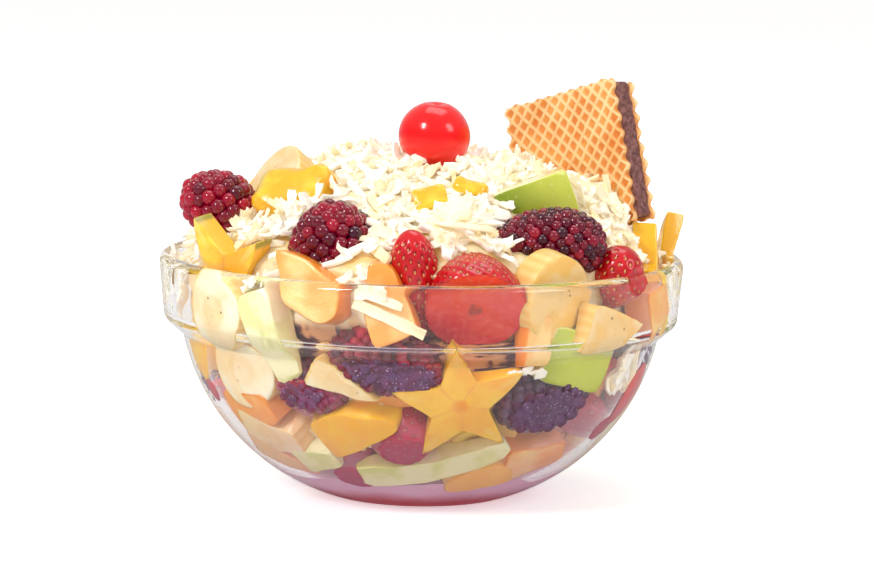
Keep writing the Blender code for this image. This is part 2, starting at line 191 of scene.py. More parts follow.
# %% [markdown]
# ## Floor and light
#
# High-key studio light: a pale floor, a bright surround and two soft boxes. A clear glass shows
# only by what it bends and mirrors, so the surround is a little darker and cooler at the sides
# than it is in front and above. That draws the bowl's edges in a soft grey.

# %% The light
scene = bpy.context.scene
scene.view_settings.view_transform = "Standard"
scene.view_settings.look = "None"


def make_world():
    """a bright surround that is dim in front of the bowl and cooler low at its sides"""
    world = bpy.data.worlds.new("studio")
    scene.world = world
    world.use_nodes = True
    tree = world.node_tree
    tree.nodes.clear()
    where = add(tree, "TexCoord")
    split = add(tree, "SeparateXYZ")
    tree.links.new(where.outputs["Generated"], split.inputs[0])
    low = ramp(tree, split.outputs["Z"], 0.05, 0.70, 1.0, 0.0)
    beside = ramp(tree, calc(tree, "ABSOLUTE", split.outputs["X"]), 0.50, 0.95)
    before = ramp(tree, calc(tree, "MULTIPLY", split.outputs["Y"], -1.0), 0.15, 0.80)
    ray = add(tree, "LightPath")
    colour = blend(tree, calc(tree, "MULTIPLY", beside, low), (1.0, 0.99, 0.97, 1.0), srgb(188, 180, 194))
    front = calc(tree, "MULTIPLY", calc(tree, "MULTIPLY", before, low), ray.outputs["Is Glossy Ray"])
    colour = blend(tree, front, colour, srgb(206, 200, 208))
    light = add(tree, "Background")
    tree.links.new(ramp(tree, ray.outputs["Is Transmission Ray"], 0.0, 1.0, WORLD_LIGHT, THROUGH_GLASS), light.inputs["Strength"])
    seen = add(tree, "Background", Color=(1.0, 1.0, 1.0, 1.0), Strength=1.0)
    choose = add(tree, "MixShader")
    out = add(tree, "OutputWorld")
    tree.links.new(colour, light.inputs["Color"])
    tree.links.new(ray.outputs["Is Camera Ray"], choose.inputs["Fac"])
    tree.links.new(light.outputs[0], choose.inputs[1])
    tree.links.new(seen.outputs[0], choose.inputs[2])
    tree.links.new(choose.outputs[0], out.inputs["Surface"])


def soft_box(name, place, width, tall, power):
    """an area light that faces the middle of the bowl"""
    lamp = bpy.data.lights.new(name, "AREA")
    lamp.shape = "RECTANGLE"
    lamp.size = width
    lamp.size_y = tall
    lamp.energy = power
    holder = bpy.data.objects.new(name, lamp)
    scene.collection.objects.link(holder)
    holder.location = place
    holder.rotation_euler = (aim - Vector(place)).to_track_quat("-Z", "Y").to_euler()


WORLD_LIGHT = 0.62
THROUGH_GLASS = 1.6
make_world()
soft_box("key", (-0.75, -0.85, 0.95), 0.24, 0.40, 9.0)
soft_box("fill", (0.95, -0.60, 0.80), 0.40, 0.55, 3.5)
soft_box("top", (0.10, 0.25, 1.30), 0.80, 0.60, 4.0)


FLOOR_GLOW = 0.45


def make_floor():
    bpy.ops.mesh.primitive_plane_add(size=12.0, location=(0.0, 3.0, 0.0))
    floor = bpy.context.object
    floor.name = "floor"
    paint = bpy.data.materials.new("floor_paint")
    paint.use_nodes = True
    shader = paint.node_tree.nodes["Principled BSDF"]
    shader.inputs["Roughness"].default_value = 0.8
    shader.inputs["Specular IOR Level"].default_value = 0.2
    shader.inputs["Emission Color"].default_value = (1.0, 1.0, 1.0, 1.0)
    ray = add(paint.node_tree, "LightPath")
    white = blend(paint.node_tree, ray.outputs["Is Glossy Ray"], (0.88, 0.88, 0.88, 1.0), (0.55, 0.55, 0.56, 1.0))
    paint.node_tree.links.new(white, shader.inputs["Base Color"])
    glow = ramp(paint.node_tree, ray.outputs["Is Glossy Ray"], 0.0, 1.0, FLOOR_GLOW, 0.0)
    glow = calc(paint.node_tree, "MULTIPLY_ADD", ray.outputs["Is Transmission Ray"], 0.4, glow)
    paint.node_tree.links.new(glow, shader.inputs["Emission Strength"])
    floor.data.materials.append(paint)


make_floor()

# %% [markdown]
# ## The bowl's outline
#
# A pressed glass bowl is a turned shape: one outline swept round its axis. The outline is an arc
# from the foot to the neck, then a shoulder, then an upright band that ends in a round lip. The
# same inner outline tells every piece of fruit how far it can reach, so it comes first.

# %% Outline of the glass
bowl_low, bowl_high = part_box("bowl")
BOWL_RADIUS = bowl_high.x / MM
BOWL_HEIGHT = bowl_high.z / MM
BAND_EDGE = Vector((BOWL_RADIUS - 1.6, 0.735 * BOWL_HEIGHT))
NECK = Vector((BOWL_RADIUS - 7.7, BAND_EDGE.y - 5.3))
FOOT = Vector((30.0, 0.0))
BODY_ARC = 70.0
WALL = 3.4
BAND_WALL = 3.8
FLOOR = 4.0
LIP_INNER = 0.8
LIP_OUTER = 2.9


def fillet(before, corner, after, radius, steps):
    """points of an arc that rounds the corner between two straight runs"""
    start = (before - corner).normalized()
    end = (after - corner).normalized()
    half = start.angle(end) / 2
    middle = corner + (start + end).normalized() * (radius / sin(half))
    spoke = corner + start * (radius / tan(half)) - middle
    turn = (pi - 2 * half) * (1 if start.cross(end) < 0 else -1)
    points = []
    for i in range(steps + 1):
        angle = turn * i / steps
        across = spoke.x * cos(angle) - spoke.y * sin(angle)
        points.append(middle + Vector((across, spoke.x * sin(angle) + spoke.y * cos(angle))))
    return points


def arc_middle():
    """centre of the body's curve, through the foot's edge and the neck"""
    chord = NECK - FOOT
    rise = sqrt(BODY_ARC ** 2 - (chord.length / 2) ** 2)
    return (FOOT + NECK) / 2 + Vector((-chord.y, chord.x)).normalized() * rise


ARC_MIDDLE = arc_middle()


def body_arc(radius, low, high, steps):
    """points up the body's curve, between two heights"""
    first, last = (np.arccos((ARC_MIDDLE.y - level) / radius) for level in (low, high))
    angles = np.linspace(first, last, steps + 1)
    return [ARC_MIDDLE + Vector((sin(angle), -cos(angle))) * radius for angle in angles]


def inner_outline():
    shoulder = Vector((NECK.x - 3.2, NECK.y + 1.2))
    step = Vector((BAND_EDGE.x - 3.4, BAND_EDGE.y + 1.9))
    lip = Vector((BOWL_RADIUS - BAND_WALL, BOWL_HEIGHT))
    arc = body_arc(BODY_ARC - WALL, FLOOR, NECK.y - 0.5, 28)
    lower = fillet(arc[-1], shoulder, step, 1.5, 4)
    return arc + lower + fillet(shoulder, step, lip, 3.0, 5)


def outer_outline():
    lip = Vector((BOWL_RADIUS, BOWL_HEIGHT))
    arc = body_arc(BODY_ARC, 0.0, NECK.y - 1.0, 30)
    edge = fillet(lip, BAND_EDGE, NECK, 3.0, 6)
    return edge + fillet(BAND_EDGE, NECK, arc[-1], 1.2, 4) + arc[::-1]


def lip_outline():
    inner = Vector((BOWL_RADIUS - BAND_WALL, BOWL_HEIGHT))
    outer = Vector((BOWL_RADIUS, BOWL_HEIGHT))
    below = Vector((0.0, -BOWL_HEIGHT))
    rise = fillet(inner + below, inner, outer, LIP_INNER, 4)
    return rise + fillet(inner, outer, outer + below, LIP_OUTER, 7)


inner_line = inner_outline()
inner_rise = np.array([point.y for point in inner_line] + [BOWL_HEIGHT])
inner_reach = np.array([point.x for point in inner_line] + [BOWL_RADIUS - BAND_WALL])
print("the inner outline has", len(inner_line), "points, and is", round(inner_reach.max(), 1), "mm at the lip")

# %% [markdown]
# ## Shapes as rows of rings
#
# Fruit comes in few kinds of form: a round fruit, a flat slice, a chunk between straight cuts, a
# shred. Each of them is a stack of rings that is closed by a point at both ends. So one class
# holds such a stack. It also keeps, for each point, where it lies on the piece itself and how
# much skin, hollow or ripeness it has, because the finishes read those values later on.

# %% A shape, and the tray that joins many shapes into one mesh
class Shape:
    """points in millimetres, faces, and a value for each point that the finish reads"""

    def __init__(self, points, faces, mark=None):
        self.points = np.array(points, float).reshape(-1, 3)
        self.faces = faces
        self.mark = np.zeros(len(self.points)) if mark is None else np.array(mark, float)
        self.own = self.points.copy()
        self.touch = np.zeros(len(self.points))

    def keep_own(self):
        self.own = self.points.copy()
        return self


def skin_faces(count, around, offset=0):
    """faces over rings of points, with a point before the first ring and one after the last"""
    first, last = offset, offset + 1 + count * around
    faces = []
    for j in range(around):
        k = (j + 1) % around
        faces.append((first, first + 1 + j, first + 1 + k))
        for i in range(count - 1):
            a = first + 1 + i * around
            b = a + around
            faces.append((a + j, b + j, b + k, a + k))
        end = first + 1 + (count - 1) * around
        faces.append((last, end + k, end + j))
    return faces


def from_rings(rings, first, last, marks=None):
    """a closed shape over an array of rings: ring, point, coordinate"""
    count, around = rings.shape[:2]
    points = np.concatenate([[first], rings.reshape(-1, 3), [last]])
    mark = None
    if marks is not None:
        mark = np.concatenate([[marks[0]], np.repeat(marks, around), [marks[-1]]])
    return Shape(points, skin_faces(count, around), mark)


class Tray:
    """many shapes of one kind, turned out as one mesh"""

    def __init__(self):
        self.shapes = []
        self.shades = []

    def add(self, shape, shade):
        self.shapes.append(shape)
        self.shades.append(shade)

    def turn_out(self, name, material, slot, *nodes, sharp=45):
        points = np.concatenate([shape.points for shape in self.shapes]) * MM
        faces, start = [], 0
        for shape in self.shapes:
            faces += [tuple(corner + start for corner in face) for face in shape.faces]
            start += len(shape.points)
        mesh = bpy.data.meshes.new(name)
        mesh.from_pydata(points.tolist(), [], faces)
        own = np.concatenate([shape.own for shape in self.shapes]) * MM
        mark = np.concatenate([shape.mark for shape in self.shapes])
        sizes = [len(shape.points) for shape in self.shapes]
        shade = np.repeat(np.array(self.shades, float), sizes)
        mesh.attributes.new("own", "FLOAT_VECTOR", "POINT").data.foreach_set("vector", own.ravel())
        mesh.attributes.new("mark", "FLOAT", "POINT").data.foreach_set("value", mark)
        mesh.attributes.new("shade", "FLOAT", "POINT").data.foreach_set("value", shade)
        touch = np.concatenate([shape.touch for shape in self.shapes])
        mesh.attributes.new("touch", "FLOAT", "POINT").data.foreach_set("value", touch)
        mesh.shade_smooth()
        mesh.set_sharp_from_angle(angle=radians(sharp))
        mesh.materials.append(material)
        piece = bpy.data.objects.new(name, mesh)
        scene.collection.objects.link(piece)
        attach(piece, "root")
        if nodes:
            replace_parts(piece, *nodes)
        triangles = sum(len(face) - 2 for face in faces)
        print(f"{name}: {len(self.shapes)} shapes, {triangles} triangles")
        return piece


def ball(across, along):
    """a ball of radius 1, with its poles on the Z axis"""
    turn = np.arange(across) / across * 2 * pi
    drop = (np.arange(1, along) / along * pi)[:, None]
    rings = np.stack([
        np.sin(drop) * np.cos(turn), np.sin(drop) * np.sin(turn), np.cos(drop) + 0 * turn,
    ], axis=-1)
    return from_rings(rings, (0, 0, 1), (0, 0, -1))


def roughen(shape, size, amount, seed):
    """move each point a little, by a smooth noise whose lumps have the given size"""
    away = Vector((seed * 7.31, seed * 3.17, seed * 5.93))
    for point in shape.points:
        point += np.array(noise.noise_vector(Vector(point) / size + away)) * amount
    return shape


print("a ball of 12 by 8 has", len(ball(12, 8).points), "points")

# %% [markdown]
# ## Slices and chunks
#
# A slice of banana, a star of starfruit and a diced piece of mango are all slabs: an outline, a
# thickness and a soft edge. The outline is a function of the angle round the middle. For diced
# fruit it comes from the straight cuts that bound it, each with a direction and a distance, and
# a high power joins them with slightly rounded corners.

# %% Slabs
FACE_RINGS = (0.25, 0.5, 0.72, 0.9)


def slab(reach, thick, soft, around=36, sides=2, dome=0.0, face_rings=FACE_RINGS):
    """a flat piece with its outline's reach at each angle; mark is 1 on its side and 0 on its faces"""
    turn = np.arange(around) / around * 2 * pi
    edge = reach(turn)
    half = thick / 2
    rows = [(share, 0.0, half, 0.0) for share in face_rings]
    for i in range(3):
        angle = i / 2 * pi / 2
        rows.append((1.0, 1 - sin(angle), half - soft * (1 - cos(angle)), 0.3 + 0.35 * i))
    for i in range(1, sides):
        rows.append((1.0, 0.0, (half - soft) * (1 - 2 * i / sides), 1.0))
    rows += [(share, inset, -level, mark) for share, inset, level, mark in rows[len(face_rings) + 2::-1]]
    rings = []
    for share, inset, level, _ in rows:
        far = edge * share - soft * (inset if share == 1.0 else share)
        rings.append(np.stack([far * np.cos(turn), far * np.sin(turn), np.full(around, level)], axis=-1))
    marks = [row[3] for row in rows]
    shape = from_rings(np.array(rings), (0, 0, half), (0, 0, -half), marks)
    if dome:
        away = shape.points[:, 0] ** 2 + shape.points[:, 1] ** 2
        shape.points[:, 2] -= np.where(shape.points[:, 2] > 0, away * dome, 0)
    return shape.keep_own()


def between_cuts(*cuts, crisp=9):
    """the outline of a piece between straight cuts, each a direction in degrees and a distance"""
    def reach(turn):
        total = 0
        for direction, distance in cuts:
            total = total + np.maximum(0.0, np.cos(turn - radians(direction)) / distance) ** crisp
        return total ** (-1 / crisp)
    return reach


def lobed(radius, lobes, depth):
    """a nearly round outline with a few faint corners"""
    return lambda turn: radius * (1 + depth * np.cos(lobes * turn))


def star(radius, valley=0.40, arms=5, blunt=0.95):
    """the outline of a starfruit: nearly straight arms with blunt tips and deep valleys"""
    half = pi / arms

    def reach(turn):
        away = np.abs((turn + half) % (2 * half) - half)
        bulge = 1 - 0.04 * np.sin(pi * away / half)
        straight = sin(half) / (np.sin(half - away) + np.sin(away) / valley) * bulge
        return radius * (straight ** -12 + blunt ** -12) ** (-1 / 12)
    return reach


print("a banana slice has", len(slab(lobed(12, 3, 0.03), 8, 1).points), "points")

# %% [markdown]
# ## Placing a piece
#
# Whatever lies against the glass is pressed flat by it. So a piece is turned and moved to its
# place first, and then each of its points that is past the glass comes back to just inside the
# wall's surface. No air gap shows then, which is how wet fruit looks through a bowl. Every
# piece goes a hair deeper or shallower than its neighbour, so that two never share a surface.

# %% Turning, placing and pressing
def facing(azimuth, elevation, spin=0.0):
    """turn a piece so that its own +Z looks along an azimuth and an elevation"""
    turned = Matrix.Rotation(radians(azimuth), 3, "Z") @ Matrix.Rotation(radians(90 - elevation), 3, "X")
    return np.array(turned @ Matrix.Rotation(radians(spin), 3, "Z"))


def press(points, bite):
    """bring points that are past the glass back to its inner face, or a little way into the wall"""
    far = np.hypot(points[:, 0], points[:, 1])
    low = points[:, 2] < NECK.y
    across, up = far - ARC_MIDDLE.x, points[:, 2] - ARC_MIDDLE.y
    away = np.hypot(across, up)
    reach = BODY_ARC - WALL + bite
    share = np.where(low & (away > reach) & (across > 0), reach / np.maximum(away, 1e-6), 1.0)
    new_far = ARC_MIDDLE.x + across * share
    points[:, 2] = np.where(share < 1, ARC_MIDDLE.y + up * share, points[:, 2])
    new_far = np.where(share < 1, new_far, far)
    limit = np.interp(points[:, 2], inner_rise, inner_reach) + bite
    limit += np.maximum(0.0, points[:, 2] - BOWL_HEIGHT) * LEAN_OUT
    new_far = np.where((points[:, 2] >= NECK.y) & (new_far > limit), limit, new_far)
    points[:, :2] *= (new_far / np.maximum(far, 1e-6))[:, None]
    points[:, 2] = np.maximum(points[:, 2], FLOOR - bite)
    return points


LEAN_OUT = 0.35
TOUCH_DEPTH = 0.6


def put(shape, place, azimuth, elevation, spin=0.0, bite=None):
    """turn a shape, move it to its place in millimetres, and press it against the glass"""
    shape.points = shape.points @ facing(azimuth, elevation, spin).T + np.array(place, float)
    if bite is not None:
        before = shape.points.copy()
        press(shape.points, bite)
        shape.touch = np.minimum(1.0, np.linalg.norm(shape.points - before, axis=1) / TOUCH_DEPTH)
    return shape


def on_glass(shape, azimuth, rise, spin, sunk, bite, turn=0.0, lean=0.0):
    """lay a shape with its +Z against the glass, pushed outward by sunk before it is pressed"""
    if rise < NECK.y:
        slope = degrees(np.arcsin((rise - ARC_MIDDLE.y) / (BODY_ARC - WALL)))
    else:
        slope = -3.0
    far = np.interp(rise, inner_rise, inner_reach)
    out = radians(azimuth)
    normal = facing(azimuth, slope)[:, 2]
    depth = (shape.points @ facing(azimuth + turn, slope + lean, spin).T @ normal).max() - sunk
    place = np.array((far * sin(out), -far * cos(out), rise)) - normal * depth
    return put(shape, place, azimuth + turn, slope + lean, spin, bite)


def fit_to_node(shape, node, azimuth, elevation, spin=0.0, bite=None, out=0.0, shift=(0, 0, 0)):
    """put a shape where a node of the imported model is: the middles of their boxes meet, but for a shift

    A piece that lies against the glass is then pushed outward by out, so that the glass presses it.
    """
    low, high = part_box(node)
    middle = np.array((low + high) / 2) / MM + shift
    start = shape.points.copy()
    place = middle.copy()
    for _ in range(4):
        shape.points = start.copy()
        put(shape, place, azimuth, elevation, spin, None if bite is None else 0.0)
        place += middle - (shape.points.min(0) + shape.points.max(0)) / 2
    shape.points = start
    place[:2] *= 1 + out / hypot(*place[:2])
    return put(shape, place, azimuth, elevation, spin, bite)


print("the glass leans outward by", round(degrees(np.arctan2(1.2, BOWL_HEIGHT - BAND_EDGE.y)), 1), "degrees at the band")

# %% [markdown]
# ## Shared effects
#
# Three effects are used by more than one finish, so each is a node group that is built once.
# The flesh group gives cut fruit its uneven colour and fine grain, from where a point lies on
# its own piece. The juice group draws the film of juice between fruit and glass: it pales and
# reddens a colour towards the bottom of the bowl. The speckle group scatters small dots.

# %% Node groups
def new_group(name, inputs, outputs):
    """an empty node group with its inputs, given as name and default value, and its outputs"""
    group = bpy.data.node_groups.new(name, "ShaderNodeTree")
    for label, value in inputs.items():
        kind = "NodeSocketColor" if isinstance(value, tuple) else "NodeSocketFloat"
        socket = group.interface.new_socket(name=label, in_out="INPUT", socket_type=kind)
        socket.default_value = value
    for label, kind in outputs.items():
        group.interface.new_socket(name=label, in_out="OUTPUT", socket_type=kind)
    start = group.nodes.new("NodeGroupInput")
    end = group.nodes.new("NodeGroupOutput")
    return group, start.outputs, end.inputs


def make_flesh():
    """uneven colour and fine grain of cut fruit"""
    group, given, result = new_group("fruit_flesh", {
        "Pale": (0.9, 0.8, 0.6, 1.0), "Deep": (0.9, 0.5, 0.2, 1.0), "Grain": 0.5, "Patch Size": 110.0, "Patchy": 1.0,
    }, {"Color": "NodeSocketColor", "Height": "NodeSocketFloat"})
    own = attribute(group, "own")
    shade = attribute(group, "shade")
    shift = add(group, "VectorMath", operation="ADD")
    group.links.new(own.outputs["Vector"], shift.inputs[0])
    group.links.new(shade.outputs["Fac"], shift.inputs[1])
    patches = add(group, "TexNoise", Detail=2.0, Roughness=0.5)
    group.links.new(shift.outputs[0], patches.inputs["Vector"])
    group.links.new(given["Patch Size"], patches.inputs["Scale"])
    grain = noise_of(group, shift.outputs[0], 900.0, detail=4.0, rough=0.6)
    mixed = calc(group, "MULTIPLY_ADD", ramp(group, patches.outputs["Fac"], 0.36, 0.64, -0.5, 0.5), given["Patchy"], 0.5)
    fine = calc(group, "MULTIPLY", calc(group, "SUBTRACT", grain, 0.5), given["Grain"])
    share = calc(group, "ADD", mixed, fine)
    shaded = calc(group, "ADD", share, calc(group, "MULTIPLY", calc(group, "SUBTRACT", shade.outputs["Fac"], 0.5), 1.1))
    clip = add(group, "Clamp")
    group.links.new(shaded, clip.inputs[0])
    group.links.new(blend(group, clip.outputs[0], given["Pale"], given["Deep"]), result["Color"])
    group.links.new(calc(group, "ADD", patches.outputs["Fac"], grain), result["Height"])
    return group


def make_juice():
    """the film of juice where fruit touches the glass, and lower down in the bowl"""
    group, given, result = new_group("juice_film", {
        "Color": (0.8, 0.8, 0.8, 1.0), "Juice": srgb(226, 172, 196), "Amount": 0.32, "Level": 0.024,
        "Smear": srgb(200, 140, 150), "Touch": 0.0,
    }, {"Color": "NodeSocketColor"})
    where = add(group, "NewGeometry")
    split = add(group, "SeparateXYZ")
    group.links.new(where.outputs["Position"], split.inputs[0])
    wave = noise_of(group, where.outputs["Position"], 42.0, detail=2.0)
    level = calc(group, "MULTIPLY_ADD", calc(group, "SUBTRACT", wave, 0.5), 0.045, given["Level"])
    above = calc(group, "SUBTRACT", split.outputs["Z"], level)
    depth = ramp(group, above, -0.012, 0.012, 1.0, 0.0)
    share = calc(group, "MULTIPLY", depth, given["Amount"])
    touch = attribute(group, "touch")
    patch = noise_of(group, where.outputs["Position"], 160.0, detail=2.0)
    smeared = ramp(group, calc(group, "ADD", touch.outputs["Fac"], calc(group, "SUBTRACT", patch, 0.5)), 0.1, 0.8)
    smear = blend(group, calc(group, "MULTIPLY", smeared, given["Touch"]), given["Color"], given["Smear"])
    group.links.new(blend(group, share, smear, given["Juice"]), result["Color"])
    return group


def make_speckle():
    """a mask of small round dots, evenly scattered"""
    group, given, result = new_group("speckle", {"Scale": 700.0, "Size": 0.25}, {"Mask": "NodeSocketFloat"})
    own = attribute(group, "own")
    cells = add(group, "TexVoronoi")
    group.links.new(own.outputs["Vector"], cells.inputs["Vector"])
    group.links.new(given["Scale"], cells.inputs["Scale"])
    inner = calc(group, "MULTIPLY", given["Size"], 0.6)
    group.links.new(ramp(group, cells.outputs["Distance"], inner, given["Size"], 1.0, 0.0), result["Mask"])
    return group


FLESH = make_flesh()
JUICE = make_juice()
SPECKLE = make_speckle()
print("node groups:", [group.name for group in bpy.data.node_groups])

# %% [markdown]
# ## Finishes
#
# Wet fruit is glossy on top and lets light into its flesh. So most finishes have a coat or a low
# roughness, and subsurface light with a radius of a millimetre or two. Each is one Principled
# shader with its colour from the groups above. Plain numbers sit on the shader's own sockets.

# %% Helpers for a finish
def new_finish(name, roughness, specular=0.5, coat=0.0, coat_rough=0.08, deep=0.0, radius=(1.0, 0.5, 0.25), reach=2.0):
    material = bpy.data.materials.new(name)
    material.use_nodes = True
    tree = material.node_tree
    shader = tree.nodes["Principled BSDF"]
    shader.inputs["Roughness"].default_value = roughness
    shader.inputs["Specular IOR Level"].default_value = specular
    shader.inputs["Coat Weight"].default_value = coat
    shader.inputs["Coat Roughness"].default_value = coat_rough
    shader.inputs["Subsurface Weight"].default_value = deep
    shader.inputs["Subsurface Radius"].default_value = radius
    shader.inputs["Subsurface Scale"].default_value = reach * MM
    return material, tree, shader


def use_group(tree, group, **values):
    node = tree.nodes.new("ShaderNodeGroup")
    node.node_tree = group
    for name, value in values.items():
        label = name.replace("_", " ")
        if isinstance(value, bpy.types.NodeSocket):
            tree.links.new(value, node.inputs[label])
        else:
            node.inputs[label].default_value = value
    return node


def colour_through_juice(tree, shader, colour, **film):
    """film gives the juice group's values for this finish"""
    node = use_group(tree, JUICE, Color=colour, **film)
    tree.links.new(node.outputs["Color"], shader.inputs["Base Color"])


def raise_surface(tree, shader, height, strength, distance):
    bump = add(tree, "Bump", Strength=strength, Distance=distance * MM)
    tree.links.new(height, bump.inputs["Height"])
    tree.links.new(bump.outputs[0], shader.inputs["Normal"])


def fruit_finish(name, pale, rich, side=None, grain=0.5, patch=110.0, film=None, **looks):
    """cut fruit with an uneven flesh; side is the colour of its outer side where mark is 1"""
    material, tree, shader = new_finish(name, **looks)
    flesh = use_group(tree, FLESH, Pale=pale, Deep=rich, Grain=grain, Patch_Size=patch)
    colour = flesh.outputs["Color"]
    if side is not None:
        mark = attribute(tree, "mark")
        colour = blend(tree, ramp(tree, mark.outputs["Fac"], 0.35, 0.95), colour, side)
    colour_through_juice(tree, shader, colour, **(film or {}))
    raise_surface(tree, shader, flesh.outputs["Height"], 0.35, 0.5)
    return material


mango_finish = fruit_finish(
    "mango", srgb(255, 216, 54), srgb(255, 186, 26), roughness=0.28, coat=0.5, deep=0.5, radius=(1.0, 0.55, 0.10), reach=2.5,
    film=dict(Amount=0.2, Smear=srgb(255, 190, 78), Touch=0.6))
papaya_finish = fruit_finish(
    "papaya", srgb(254, 210, 134), srgb(250, 166, 70), side=srgb(244, 148, 48), roughness=0.32, coat=0.35, deep=0.4,
    radius=(1.0, 0.5, 0.2), patch=70.0)
print("finishes:", [material.name for material in bpy.data.materials][:12])

# %% [markdown]
# ## The glass bowl
#
# The outline is swept round with a Screw modifier, in 128 steps so that its edge stays round.
# Clear glass bends what lies behind it, and that is most of its look, so its wall is a true
# solid. Its shadow would come out black without caustics, so shadow rays pass straight through.

# %% Glass
def make_glass():
    material = bpy.data.materials.new("clear_glass")
    material.use_nodes = True
    tree = material.node_tree
    glass = tree.nodes["Principled BSDF"]
    glass.inputs["Base Color"].default_value = srgb(250, 251, 253)
    glass.inputs["Roughness"].default_value = 0.0
    glass.inputs["IOR"].default_value = 1.47
    glass.inputs["Transmission Weight"].default_value = 1.0
    through = add(tree, "BsdfTransparent", Color=srgb(246, 248, 251))
    ray = add(tree, "LightPath")
    choose = add(tree, "MixShader")
    lost = calc(tree, "GREATER_THAN", ray.outputs["Ray Depth"], 4.0)
    tree.links.new(calc(tree, "MAXIMUM", ray.outputs["Is Shadow Ray"], lost), choose.inputs["Fac"])
    tree.links.new(glass.outputs[0], choose.inputs[1])
    tree.links.new(through.outputs[0], choose.inputs[2])
    tree.links.new(choose.outputs[0], tree.nodes["Material Output"].inputs["Surface"])
    return material


def make_bowl():
    outline = [Vector((0.0, FLOOR)), *inner_line, *lip_outline(), *outer_outline(), Vector((0.0, 0.0))]
    mesh = bpy.data.meshes.new("glass_bowl")
    points = [(point.x * MM, 0.0, point.y * MM) for point in outline]
    mesh.from_pydata(points, [(i, i + 1) for i in range(len(points) - 1)], [])
    bowl = bpy.data.objects.new("glass_bowl", mesh)
    scene.collection.objects.link(bowl)
    turn = bowl.modifiers.new("turn", "SCREW")
    turn.steps = 128
    turn.render_steps = 128
    turn.use_merge_vertices = True
    turn.merge_threshold = 0.00001
    bowl.data = bpy.data.meshes.new_from_object(bowl.evaluated_get(bpy.context.evaluated_depsgraph_get()))
    bowl.modifiers.clear()
    bowl.data.shade_smooth()
    bowl.data.set_sharp_from_angle(angle=radians(50))
    bowl.data.materials.append(make_glass())
    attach(bowl, "root")
    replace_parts(bowl, "bowl")
    return bowl


glass_bowl = make_bowl()
print("the bowl has", len(glass_bowl.data.polygons), "faces")

# %% [markdown]
# ## Mango and papaya
#
# Both are diced, so they are slabs between straight cuts. Their corners are soft because the
# flesh is ripe, and a smooth noise keeps them from looking sawn. The large ones on the heap
# stand where their nodes stand. The smaller ones are gathered in trays and turned out later.

# %% Mango and papaya pieces
rng = np.random.default_rng(7)
inside = {kind: Tray() for kind in ("mango", "papaya", "banana", "apple", "starfruit", "strawberry", "bramble")}


def chunk(cuts, thick, soft=1.6, lumps=0.7, dome=0.0, around=36, seed=1):
    shape = slab(between_cuts(*cuts), thick, soft, around=around, dome=dome)
    return roughen(shape, 7.0, lumps, seed)


def turn_out_one(name, shape, material, slot, *nodes, shade=0.5, sharp=45):
    tray = Tray()
    tray.add(shape, shade)
    return tray.turn_out(name, material, slot, *nodes, sharp=sharp)


mango_finger = chunk([(0, 12), (90, 8), (180, 13), (270, 8)], 11, soft=3.6, lumps=1.1, around=64, seed=3)
fit_to_node(mango_finger, "mango_left", -35, 50, 10)
turn_out_one("mango_left_flesh", mango_finger, mango_finish, "mango_flesh", "mango_left")

mango_dice = chunk([(0, 11), (90, 9), (180, 12), (270, 9)], 13, soft=2.6, lumps=1.1, around=48, seed=5)
fit_to_node(mango_dice, "mango_back", 240, 45, 70)
turn_out_one("mango_back_flesh", mango_dice, mango_finish, "mango_flesh", "mango_back")

mango_bits = Tray()
for long, wide, place, elevation, spin in ((11, 8, (2.5, -46, 100.4), 30, 20), (11, 5, (15, -38.5, 103.2), 40, -15)):
    bit = chunk([(0, long / 2), (90, wide / 2), (180, long / 2), (270, wide / 2)], 6, soft=1.8, lumps=0.8, seed=long)
    mango_bits.add(put(bit, place, -5, elevation, spin), 0.6)
mango_bits.turn_out("mango_bits", mango_finish, "mango_flesh")

papaya_wedge = chunk([(77, 8.7), (54, 6.9), (0, 11.8), (290, 12.4), (243, 7.8), (195, 8.2)], 12, soft=0.9, lumps=0.5,
                     around=72, seed=2)
fit_to_node(papaya_wedge, "papaya_left", -22, 10, 0, bite=1.4, out=1.0)
turn_out_one("papaya_left_flesh", papaya_wedge, papaya_finish, "papaya_flesh", "papaya_left", shade=0.35)

papaya_slim = chunk([(80, 12.5), (24, 5.8), (298, 10.8), (200, 8.3), (175, 8.0)], 10, soft=0.9, lumps=0.5, around=72, seed=4)
fit_to_node(papaya_slim, "papaya_centre", -6, 4, 0, bite=1.2, out=1.0, shift=(-1, 0, 0))
turn_out_one("papaya_centre_flesh", papaya_slim, papaya_finish, "papaya_flesh", "papaya_centre", shade=0.75)

# %% [markdown]
# ## Banana
#
# A peeled slice is a short drum with three faint corners, because a banana grows from three
# parts. Its face is cream, its middle a little glassy with three lines of tiny seeds, and its
# side is drier, more yellow and faintly ribbed. The finish finds all that from the place of a
# point on its own slice.

# %% Banana slices
def banana_slice(width, thick, seed=1, around=36):
    shape = slab(lobed(width / 2, 3, 0.035), thick, 0.9, around=around, sides=3)
    return roughen(shape, 9.0, 0.55, seed)


